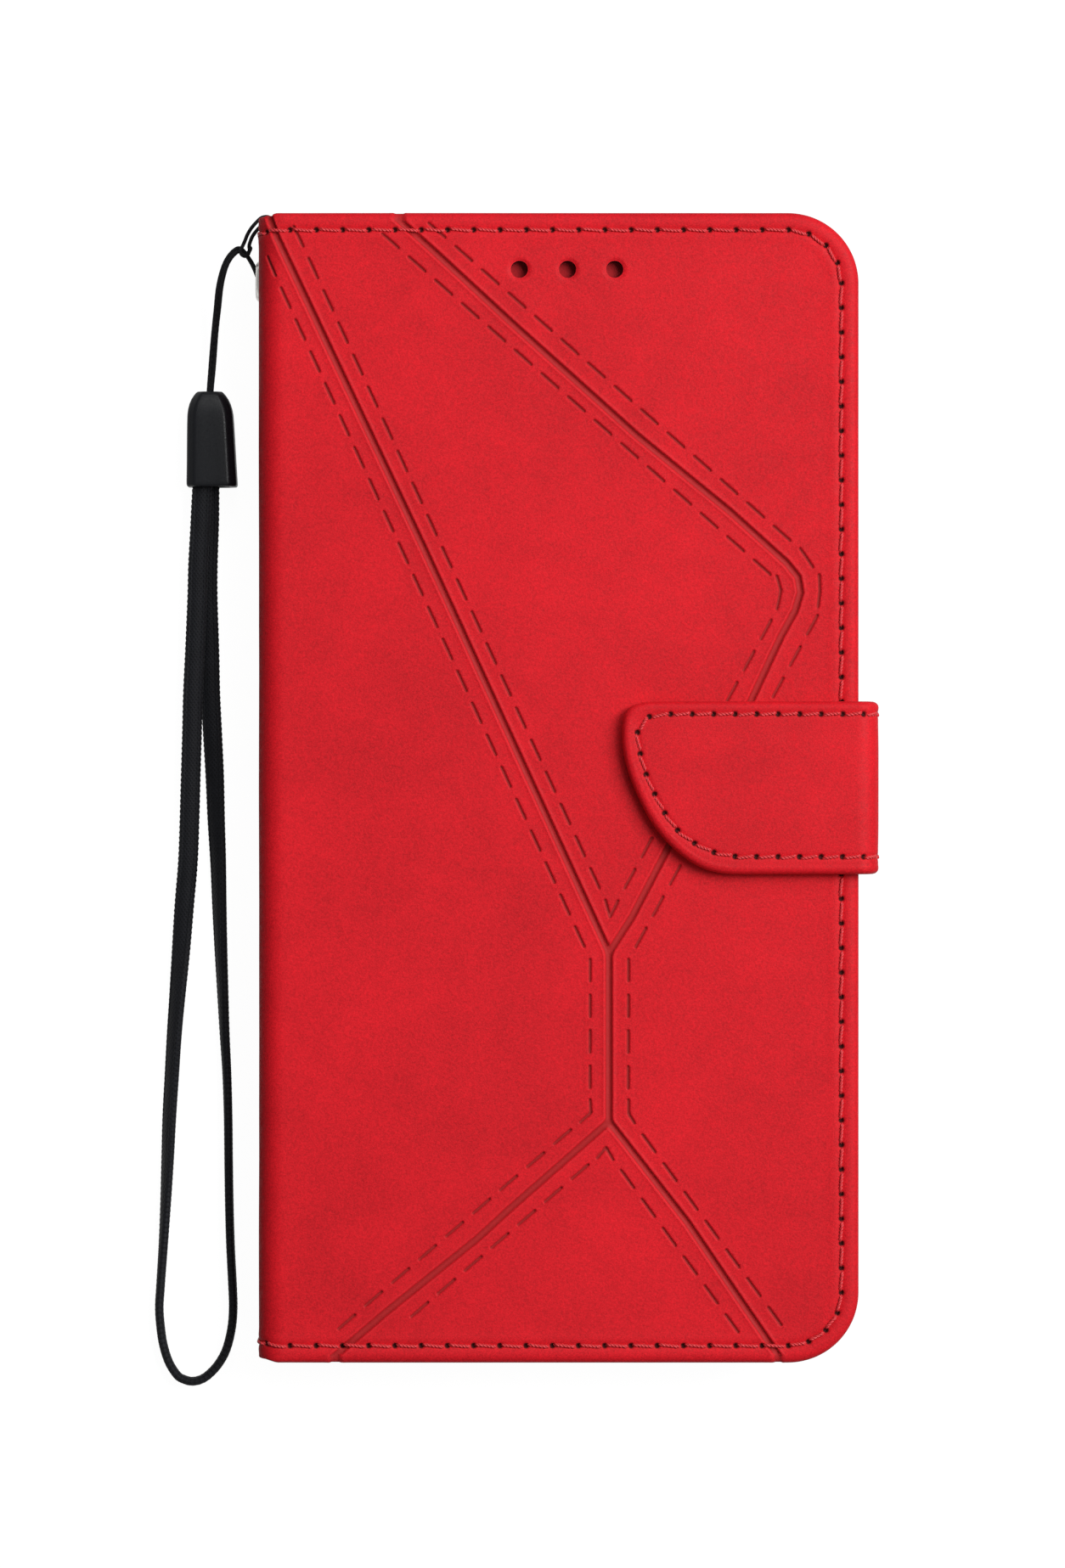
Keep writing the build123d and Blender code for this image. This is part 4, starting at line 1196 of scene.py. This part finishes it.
# ------------------------------------------------------------------ pockets inside the front cover
def pocket_slab(name, x0, x1, y0, y1, z0, z1, notch, mats, seam_in=1.6, seed=31):
    """A thin leather layer, rounded at the free side, with an optional thumb notch in its opening edge at x0."""
    t = z1 - z0
    r = 4.0
    pts = []

    def line(a, b, st=0.5):
        n = max(1, int(math.dist(a, b) / st))
        for k in range(n):
            pts.append((a[0] + (b[0] - a[0]) * k / n, a[1] + (b[1] - a[1]) * k / n))

    def arc(cx, cy, rr, a0, a1, st=0.45):
        n = max(4, int(abs(a1 - a0) * rr / st))
        for k in range(n):
            a = a0 + (a1 - a0) * k / n
            pts.append((cx + rr * math.cos(a), cy + rr * math.sin(a)))
    line((x0 + 1.0, y0), (x1 - r, y0))
    arc(x1 - r, y0 + r, r, -PI / 2, 0)
    line((x1, y0 + r), (x1, y1 - r))
    arc(x1 - r, y1 - r, r, 0, PI / 2)
    line((x1 - r, y1), (x0 + 1.0, y1))
    arc(x0 + 1.0, y1 - 1.0, 1.0, PI / 2, PI)
    yc = (y0 + y1) / 2
    if notch:
        line((x0, y1 - 1.0), (x0, yc + 9.6))
        arc(x0, yc, 9.0, PI / 2 - 0.04, -PI / 2 + 0.04)
        line((x0, yc - 9.6), (x0, y0 + 1.0))
    else:
        line((x0, y1 - 1.0), (x0, y0 + 1.0))
    arc(x0 + 1.0, y0 + 1.0, 1.0, PI, 1.5 * PI)
    Bp = np.array(pts)
    nx = np.roll(Bp, -1, 0) - np.roll(Bp, 1, 0)
    nx /= np.linalg.norm(nx, axis=1)[:, None]
    Dp = np.c_[-nx[:, 1], nx[:, 0]]
    sh = [(x0 + 0.6, y0 + seam_in), (x1 - r, y0 + seam_in)]
    sh += [(x1 - r + (r - seam_in) * math.cos(a), y0 + r + (r - seam_in) * math.sin(a)) for a in np.linspace(-PI / 2, 0, 6)]
    sh += [(x1 - seam_in, y1 - r)]
    sh += [(x1 - r + (r - seam_in) * math.cos(a), y1 - r + (r - seam_in) * math.sin(a)) for a in np.linspace(0, PI / 2, 6)]
    sh += [(x0 + 0.6, y1 - seam_in)]
    S = segs(sh)
    mouth = segs([(x0 + 1.5, y0 + 1.0), (x0 + 1.5, y1 - 1.0)])

    def hf(P):
        d, _ = dseg(P, S); m, _ = dseg(P, mouth)
        return -0.05 * np.exp(-(d / 0.4) ** 2) - 0.05 * np.exp(-(m / 0.3) ** 2) + 0.02 * value_noise(P, 11.0, seed)

    def nf(P):
        d = np.minimum(dseg(P, S)[0], dseg(P, mouth)[0]) - 0.3
        return np.clip(0.4 + 0.5 * np.maximum(d, 0), 0.4, 3.2)
    ob = slab(name, Bp, Dp, t, hf, nf, lambda p, y, n: np.stack(np.broadcast_arrays(p, y, z0 - np.asarray(n, float)), -1), mats, rows=6,
              finest=0.4, flip=True, seed=seed)
    B_ = Build()
    stitches(B_, resample(sh, 3.4), lambda p, y, n: np.stack(np.broadcast_arrays(p, y, z0 - np.asarray(n, float)), -1), -0.02, slant=0.1,
             lift=0.10, sink=0.25, r=0.11, rng_seed=seed, rows=11)
    th = B_.obj(name + "_thread", [THREAD])
    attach(ob, "front_cover"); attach(th, "front_cover")
    return ob, th


def from_box(node):
    lo, hi = mmbox(node)
    return lo[0], hi[0], lo[1], hi[1], lo[2], hi[2]


for k, (node, notch) in enumerate((("cash_pocket", False), ("card_pocket_back", True), ("card_pocket_middle", True), ("card_pocket_front", True))):
    ob, th = pocket_slab(node + "_skin", *from_box(node), notch, [LINING], seed=31 + k)
    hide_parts(node)

# ------------------------------------------------------------------ lanyard cords
def braid(B, path, r=0.55, sides=20, step=0.16, pitch=0.95, amp=0.022, caps=True, taper=None):
    """Round braided cord: two families of strands cross over each other on its surface."""
    P = resample(catmull(path, 24), step)
    n = len(P)
    V, q, t = tube(P, r, sides, caps)
    L = np.arange(n) * step
    a = np.linspace(0, 2 * PI, sides, endpoint=False)
    k = 4
    g = np.maximum(np.sin(k * a[None] + 2 * PI * L[:, None] / pitch), np.sin(k * a[None] - 2 * PI * L[:, None] / pitch))
    C = P[:, None]
    ring = V[:n * sides].reshape(n, sides, 3)
    ring = C + (ring - C) * (1 + amp * g)[..., None] / 1.0
    V[:n * sides] = ring.reshape(-1, 3)
    uv = np.zeros((len(V), 2))
    uv[:n * sides, 0] = np.repeat(L, sides)
    uv[:n * sides, 1] = np.tile(a / (2 * PI) * round(2 * PI * r / 0.62) * 0.62, n)
    B.add(V, q, t)
    return uv


def cord_obj(name, paths, r=0.55, **kw):
    B_ = Build(); U = []
    for p in paths:
        U.append(braid(B_, p, r, **kw))
    ob = B_.obj(name, [CORD], uv=np.vstack(U))
    return ob


# one cord comes over the spine's top end, makes a bight at the knot and goes back
hitch = cord_obj("hitch_cord", [
    [(-41.3, 79.6, 9.0), (-41.5, 82.4, 9.1), (-42.4, 83.95, 9.2), (-43.5, 84.05, 9.25), (-44.31, 83.42, 9.3), (-45.18, 82.42, 9.35), (-45.75, 81.45, 9.4), (-46.09, 80.6, 9.45), (-46.42, 79.85, 9.5),
     (-46.72, 79.2, 9.55), (-46.62, 78.6, 9.55), (-46.12, 78.28, 9.55), (-45.62, 78.6, 9.5), (-45.44, 79.2, 9.4), (-45.5, 79.8, 9.2), (-45.36, 80.45, 8.9),
     (-45.0, 81.35, 8.6), (-44.31, 82.3, 8.4), (-43.6, 82.85, 8.35), (-42.4, 82.9, 8.3), (-41.6, 81.4, 8.3), (-41.3, 78.9, 8.3)]], r=0.275, sides=14, step=0.11)
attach(hitch, "spine")
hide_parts("lanyard_hitch")
under = cord_obj("hitch_turn", [
    [(-46.72, 79.35, 9.35), (-46.85, 79.0, 8.6), (-46.45, 78.75, 8.05), (-45.9, 78.85, 7.95), (-45.45, 79.2, 8.2), (-45.3, 79.55, 8.75), (-45.55, 79.75, 9.15)]], r=0.26, sides=14, step=0.11)
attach(under, "spine")
# the doubled cord passes through the bight: into the eyelet on one side, down to the bead on the other
eyx = ey_c[0]
pair = cord_obj("cord_to_eyelet", [
    [(eyx + 1.9, 74.6, 9.2), (eyx + 0.4, 74.9, 9.2), (eyx - 0.45, 75.75, 9.15), (-44.85, 76.9, 9.0), (-45.5, 78.0, 8.85), (-46.3, 79.1, 8.8), (-46.75, 79.45, 8.8)],
    [(eyx + 1.9, 74.3, 8.4), (eyx + 0.4, 74.6, 8.4), (eyx - 0.45, 75.35, 8.4), (-44.75, 76.4, 8.45), (-45.3, 77.5, 8.5), (-46.0, 78.6, 8.6), (-46.45, 79.0, 8.65)]], r=0.29, sides=14, step=0.11)
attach(pair, "spine")
TAILC = np.array([(-46.6, 79.22, 8.75), (-47.25, 79.25, 8.75), (-48.15, 78.5, 8.7), (-48.9, 77.37, 8.35), (-49.46, 75.92, 7.7), (-50.0, 73.76, 6.5), (-50.39, 70.87, 5.0), (-50.68, 68.66, 4.2), (-50.92, 66.44, 3.65),
                  (-51.3, 61.94, 3.05), (-51.56, 58.9, 2.95), (-51.6, 57.0, 2.95)])
tc_ = resample(catmull(TAILC, 12), 0.6)
tt_ = np.gradient(tc_, axis=0); tt_ /= np.linalg.norm(tt_, axis=1)[:, None]
tn_ = np.c_[-tt_[:, 1], tt_[:, 0], np.zeros(len(tt_))]; tn_ /= np.linalg.norm(tn_, axis=1)[:, None]
tb_ = np.cross(tt_, tn_)
tl_ = np.linspace(0, 1, len(tc_))
roll = 0.5 * np.sin(tl_ * 2 * PI * 1.2 + 0.6)
side_ = np.cos(roll)[:, None] * tn_ + np.sin(roll)[:, None] * tb_
tail = cord_obj("lanyard_tail", [tc_ + side_ * 0.275, tc_ - side_ * 0.275], r=0.29, sides=14, step=0.11)
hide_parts("lanyard_cord")
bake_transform(tail)

# ------------------------------------------------------------------ bead: moulded, chamfered along its long sides, hollow ends
def bead_section(w, d, cw, cd, n=10):
    """Octagon-like section with softened corners: half width w, half depth d, chamfers cw x cd."""
    pts = [(w, -d + cd), (w, d - cd), (w - cw, d), (-w + cw, d), (-w, d - cd), (-w, -d + cd), (-w + cw, -d), (w - cw, -d)]
    out = []
    m = len(pts)
    for i in range(m):
        a, b, c = np.array(pts[i - 1]), np.array(pts[i]), np.array(pts[(i + 1) % m])
        la, lc = np.linalg.norm(a - b), np.linalg.norm(c - b)
        rr = min(0.35, la * 0.45, lc * 0.45)
        p0, p2 = b + (a - b) / la * rr, b + (c - b) / lc * rr
        for t in np.linspace(0, 1, 5):
            out.append((1 - t) ** 2 * p0 + 2 * t * (1 - t) * b + t ** 2 * p2)
        nxt = np.array(pts[(i + 1) % m])
        q2 = nxt + (b - nxt) / lc * min(0.35, lc * 0.45)
        for t in np.linspace(0, 1, 5)[1:-1]:
            out.append(p2 + (q2 - p2) * t)
    return np.array(out)


BZ = (bd_lo[2] + bd_hi[2]) / 2
rowsb = [(-9.0, 57.2, 1.05, 0.9), (0, 58.15, 1.15, 0.95), (0, 58.45, 1.35, 1.1), (0, 58.66, 1.62, 1.35), (0, 58.70, 1.80, 1.52), (0, 58.55, 2.02, 1.70), (0, 58.15, 2.36, 1.92), (0, 57.6, 2.72, 2.12), (0, 56.9, 3.02, 2.32), (0, 56.1, 3.24, 2.48),
         (0, 55.3, 3.36, 2.58), (0, 54.0, 3.43, 2.64), (0, 52.0, 3.50, 2.70), (0, 50.0, 3.56, 2.74), (0, 48.0, 3.62, 2.78), (0, 46.4, 3.68, 2.8), (0, 45.4, 3.72, 2.82), (0, 44.95, 3.72, 2.82),
         (0, 44.72, 3.66, 2.76), (0, 44.60, 3.52, 2.62), (0, 44.60, 2.65, 1.95), (0, 44.75, 2.55, 1.85), (0, 46.2, 2.45, 1.75)]
BV = []
for _, y, w, d in rowsb:
    cx = -51.6 + (-51.25 + 51.6) * (58.7 - y) / (58.7 - 44.6)
    cw = min(1.15, w * 0.42)
    s_ = bead_section(w, d, cw, min(0.9, d * 0.42))
    BV.append(np.c_[cx + s_[:, 0], np.full(len(s_), y), BZ + s_[:, 1]])
m_ = len(BV[0])
BVv = np.vstack(BV)
bq = grid_quads(len(BV), m_, 0, True)
c0 = len(BVv); c1 = c0 + 1
BVv = np.vstack([BVv, BV[0].mean(0)[None], BV[-1].mean(0)[None]])
jj = np.arange(m_); jj2 = (jj + 1) % m_
bt = np.vstack([np.c_[np.full(m_, c0), jj2, jj], np.c_[np.full(m_, c1), (len(BV) - 1) * m_ + jj, (len(BV) - 1) * m_ + jj2]])
bead = mesh_obj("bead", BVv, bt[:, ::-1], bq[:, ::-1], [BEADM])
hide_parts("lanyard_bead"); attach(bead, "lanyard")

# ------------------------------------------------------------------ woven wrist loop
# left strand's and right strand's plan edges, from the bead round the far end
LEFT = [(-54.05, -51.15, 46.5), (-54.3, -51.35, 42.6), (-54.60, -51.5, 38.0), (-54.95, -51.7, 33.15), (-55.08, -51.85, 28.1), (-55.39, -52.2, 20.54), (-55.71, -52.5, 14.24), (-55.83, -52.72, 7.93),
        (-56.02, -52.93, 1.63), (-56.21, -53.12, -4.67), (-56.46, -53.37, -10.98), (-56.97, -53.94, -17.28), (-57.34, -54.51, -23.58), (-57.6, -55.26, -29.89), (-58.1, -55.77, -36.19), (-58.48, -56.15, -42.49),
        (-58.86, -56.52, -48.8), (-58.98, -56.9, -55.1), (-59.11, -57.34, -61.4), (-59.36, -57.79, -67.71), (-59.7, -58.29, -74.01)]
RIGHT = [(-53.1, -50.20, 46.5), (-53.15, -50.25, 42.6), (-53.2, -50.28, 39.45), (-53.4, -50.50, 33.15), (-53.4, -50.54, 28.1), (-53.2, -50.28, 20.54), (-53.05, -50.16, 14.24), (-52.75, -49.84, 7.93), (-52.36, -49.59, 1.63),
         (-52.11, -49.4, -4.67), (-51.73, -49.21, -10.98), (-51.42, -49.15, -17.28), (-51.1, -49.02, -23.58), (-50.73, -48.84, -29.89), (-50.35, -48.65, -36.19), (-49.91, -48.39, -42.49), (-49.65, -48.27, -48.8),
         (-49.57, -48.2, -55.1), (-49.44, -48.14, -61.4), (-49.21, -48.02, -67.71), (-48.84, -47.76, -74.01)]
BOT_OUT = [(-59.87, -77.29), (-59.61, -80.31), (-59.24, -82.83), (-58.4, -85.6), (-57.09, -87.65), (-55.83, -88.51), (-54.37, -88.81), (-52.81, -88.51), (-51.4, -87.6), (-49.9, -86.05), (-48.7, -83.9), (-47.89, -80.31), (-47.64, -77.29)]
BOT_IN = [(-58.48, -77.29), (-58.29, -80.31), (-57.85, -82.83), (-57.05, -85.1), (-55.9, -86.85), (-55.2, -87.2), (-54.30, -87.47), (-53.2, -87.25), (-52.2, -86.6), (-50.9, -85.1), (-49.75, -82.9), (-49.02, -80.31), (-48.77, -77.29)]
ctr, wid = [], []
for a, b, y in LEFT:
    ctr.append(((a + b) / 2, y)); wid.append(b - a)
for o_, i_ in zip(BOT_OUT, BOT_IN):
    ctr.append(((o_[0] + i_[0]) / 2, (o_[1] + i_[1]) / 2)); wid.append(math.dist(o_, i_))
for a, b, y in RIGHT[::-1]:
    ctr.append(((a + b) / 2, y)); wid.append(b - a)
ctr, wid = np.array(ctr), np.array(wid)
WW, WT = 2.92, 1.12
nl, nb_ = len(LEFT), len(BOT_OUT)
th = []
for k, w in enumerate(wid):
    c = np.clip((w - 1.30) / (2.93 - 1.30), 0, 1)
    ang = math.acos(c ** 1.0) if c > 0 else PI / 2
    if k >= nl + nb_ // 2:
        ang = PI - ang
    th.append(ang)
th = np.array(th)
for _ in range(3):
    th[1:-1] = (th[:-2] + 2 * th[1:-1] + th[2:]) / 4
zl = np.interp(np.arange(len(ctr)), [0, 1, 4, 7, 9, 12, 15, 20, nl + nb_ // 2, len(ctr) - 21, len(ctr) - 16, len(ctr) - 13, len(ctr) - 9, len(ctr) - 4, len(ctr) - 1],
               [3.62, 3.62, 3.35, 2.75, 2.2, 1.55, 1.7, 1.85, 1.85, 1.85, 1.75, 1.5, 1.2, 1.75, 2.35])
data = catmull(np.c_[ctr, zl, th, wid], 10)
web_full = resample(data, 0.25)
C3 = web_full[:, :3]
ang = web_full[:, 3]
tan = np.gradient(C3[:, :2], axis=0)
tan /= np.linalg.norm(tan, axis=1)[:, None]
lat = np.c_[-tan[:, 1], tan[:, 0], np.zeros(len(tan))]
Wv = np.cos(ang)[:, None] * lat + np.sin(ang)[:, None] * np.array([0, 0, 1.0])
T3 = np.c_[tan, np.zeros(len(tan))]
Nv = np.cross(T3, Wv)
Ln = np.r_[0, np.cumsum(np.linalg.norm(np.diff(C3, axis=0), axis=1))]
# cross-section: flat webbing with round selvedges and lengthways ribs
ns = 48
sa = np.linspace(0, 2 * PI, ns, endpoint=False)
hx = WW / 2 * np.sign(np.cos(sa)) * np.abs(np.cos(sa)) ** 0.55
hz = WT / 2 * np.sign(np.sin(sa)) * np.abs(np.sin(sa)) ** 0.75
per = np.r_[0, np.cumsum(np.hypot(np.diff(hx), np.diff(hz)))]
vv = hx / WW
rib = np.cos(vv * 2 * PI * 5.5)
row = np.arange(len(C3))[:, None]
weave = 0.5 + 0.5 * np.sin(2 * PI * Ln[:, None] / 0.78 + (np.floor((vv + 0.5) * 5.5)[None] % 2) * PI)
face = np.abs(np.sin(sa))[None] ** 0.5
dz = (0.045 * rib[None] + 0.055 * weave * (rib[None] > -0.3)) * face
edge = 0.05 * np.sin(2 * PI * Ln / 0.78)[:, None] * (np.abs(np.cos(sa)) > 0.9)[None]
HX = hx[None] * (1 + edge / (WW / 2))
HZ = hz[None] + np.sign(np.sin(sa))[None] * dz
V = C3[:, None] + HX[..., None] * Wv[:, None] + HZ[..., None] * Nv[:, None]
V = V.reshape(-1, 3)
V[:, 2] = np.maximum(V[:, 2], 0.05)
wq = grid_quads(len(C3), ns, 0, True)
c0 = len(V)
V = np.vstack([V, C3[:1], C3[-1:]])
jj = np.arange(ns); jj2 = (jj + 1) % ns
wt = np.vstack([np.c_[np.full(ns, c0), jj2, jj], np.c_[np.full(ns, c0 + 1), (len(C3) - 1) * ns + jj, (len(C3) - 1) * ns + jj2]])
uvw = np.zeros((len(V), 2)); uvw[:c0, 0] = np.repeat(Ln, ns); uvw[:c0, 1] = np.tile(vv * 2.92, len(C3))
loop = mesh_obj("wrist_loop", V, wt, wq, [WEB], uv=uvw)
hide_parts("wrist_strap")
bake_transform(loop)

# ------------------------------------------------------------------ folded pieces: their transforms go into their meshes
for o in (skin_front, lining_front, thread_front, thread_front_inner):
    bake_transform(o)
for o in (skin_back, lining_back, thread_back):
    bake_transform(o)
for o in (strap_root, thread_root):
    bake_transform(o)
for o in (strap_flap, thread_flap):
    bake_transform(o)

# ------------------------------------------------------------------ CAD pieces' materials: the phone tray stays visible, the flap magnet is hidden
for n, mat in (("phone_tray", TPU), ("flap_magnet", STEEL)):
    o = frame["nodes"][n]
    o.data.materials.clear(); o.data.materials.append(mat)

# ------------------------------------------------------------------ stage
def floor_mat():
    m, t, p = nt("paper_floor")
    v = coords(t)
    n1 = noise(t, v, 0.02, 3, 0.5).outputs["Fac"]
    lp = t.nodes.new("ShaderNodeLightPath")
    seen = mathn(t, "MAXIMUM", lp.outputs["Is Camera Ray"], mathn(t, "MULTIPLY", lp.outputs["Is Glossy Ray"], 0.7))
    c = mixc(t, n1, (0.105, 0.105, 0.105), (0.115, 0.115, 0.115))
    t.links.new(c, p.inputs["Base Color"])
    p.inputs["Roughness"].default_value = 0.9
    p.inputs["Specular IOR Level"].default_value = 0.05
    p.inputs["Emission Color"].default_value = (1, 1, 1, 1)
    xyz = t.nodes.new("ShaderNodeSeparateXYZ")
    t.links.new(v, xyz.inputs[0])
    ax = mathn(t, "ABSOLUTE", xyz.outputs[0])
    ay = mathn(t, "ABSOLUTE", xyz.outputs[1])
    # painted shade under the case: the floor's glow drops to a tenth inside the case's footprint
    out = mathn(t, "MAXIMUM", remap(t, ax, 36.0, 40.0, 0.0, 1.0), remap(t, ay, 76.5, 80.5, 0.0, 1.0))
    glow_with_painted_shade = mathn(t, "MULTIPLY", mathn(t, "MULTIPLY", seen, 0.965), mathn(t, "MULTIPLY_ADD", out, 0.9, 0.1))
    t.links.new(glow_with_painted_shade, p.inputs["Emission Strength"])
    return m


FZ = -0.10
floor = mesh_obj("floor", [(-1500, -1500, FZ), (1500, -1500, FZ), (1500, 1500, FZ), (-1500, 1500, FZ)], None, [(0, 1, 2, 3)], [floor_mat()], smooth=False)


def lowest(objects, marks):
    """The floor drops to the lowest of these marks, so that a piece folded behind the case still lies on it."""
    drv = floor.driver_add("location", 2).driver
    drv.type = "SCRIPTED"
    names = []
    for i, (body, x, y, z) in enumerate(marks):
        e = bpy.data.objects.new("mark_%d" % i, None)
        bpy.context.scene.collection.objects.link(e)
        e.parent = objects[body]
        e.location = (x * MM, y * MM, z * MM)
        v = drv.variables.new()
        v.name = "m%d" % i
        v.type = "TRANSFORMS"
        v.targets[0].id = e
        v.targets[0].transform_type = "LOC_Z"
        v.targets[0].transform_space = "WORLD_SPACE"
        names.append(v.name)
    drv.expression = "min(0, " + ", ".join(names) + ")"


lowest(frame["bodies"], [("front_cover", XC, 0, T), ("front_cover", X1, 0, T), ("front_cover", XC, 0, 13), ("front_cover", X1, 0, 13), ("spine", X0, 0, 4), ("spine", X0, 0, T - 4),
                         ("closure_flap", 9.3, 0, 20.4), ("closure_flap", 9.3, 0, 17.7), ("closure_side", 46.67, 0, 4), ("closure_side", 46.67, 0, 17)])


def area(name, loc, target, size, power, color=(1, 1, 1), size_y=None):
    d = bpy.data.lights.new(name, "AREA")
    d.energy = power; d.color = color; d.size = size
    if size_y:
        d.shape = "RECTANGLE"; d.size_y = size_y
    o = bpy.data.objects.new(name, d)
    bpy.context.scene.collection.objects.link(o)
    o.location = loc
    o.rotation_mode = "QUATERNION"
    o.rotation_quaternion = (Vector(target) - Vector(loc)).to_track_quat("-Z", "Y")
    return o


area("key_right", (0.52, 0.24, 0.80), (0, 0, 0), 0.36, 7.7, size_y=0.6)
area("top_soft", (0.08, 0.62, 0.72), (0, 0, 0), 0.45, 1.6)
w = bpy.data.worlds.new("studio")
bpy.context.scene.world = w
w.use_nodes = True
wt_ = w.node_tree
wt_.nodes.clear()
bg = wt_.nodes.new("ShaderNodeBackground"); wo = wt_.nodes.new("ShaderNodeOutputWorld")
tc = wt_.nodes.new("ShaderNodeTexCoord"); sx = wt_.nodes.new("ShaderNodeSeparateXYZ")
wt_.links.new(tc.outputs["Generated"], sx.inputs[0])
wl = wt_.nodes.new("ShaderNodeLightPath")
g1 = mathn(wt_, "MULTIPLY_ADD", sx.outputs[0], 0.25, 0.235)
g2 = mathn(wt_, "MULTIPLY_ADD", sx.outputs[1], 0.06, g1)
g3 = mathn(wt_, "MAXIMUM", g2, 0.05)
g4 = mathn(wt_, "MAXIMUM", mathn(wt_, "MAXIMUM", g3, wl.outputs["Is Camera Ray"]), mathn(wt_, "MULTIPLY", wl.outputs["Is Glossy Ray"], 0.30))
bg.inputs["Color"].default_value = (1, 1, 1, 1)
wt_.links.new(g4, bg.inputs["Strength"])
wt_.links.new(bg.outputs[0], wo.inputs[0])

cam_d = bpy.data.cameras.new("camera")
cam_d.sensor_fit = "AUTO"; cam_d.sensor_width = 36.0
cam_d.lens = 36.0 * 900.0 / 228.87
cam_d.clip_start, cam_d.clip_end = 0.05, 10
cam = bpy.data.objects.new("camera", cam_d)
bpy.context.scene.collection.objects.link(cam)
cam.location = (-0.00377, 0.00056, 0.9176)
cam.rotation_euler = (0, 0, 0)
bpy.context.scene.camera = cam
vs = bpy.context.scene.view_settings
vs.view_transform = "Standard"
vs.look = "None"
vs.exposure = 0.0
vs.gamma = 1.0
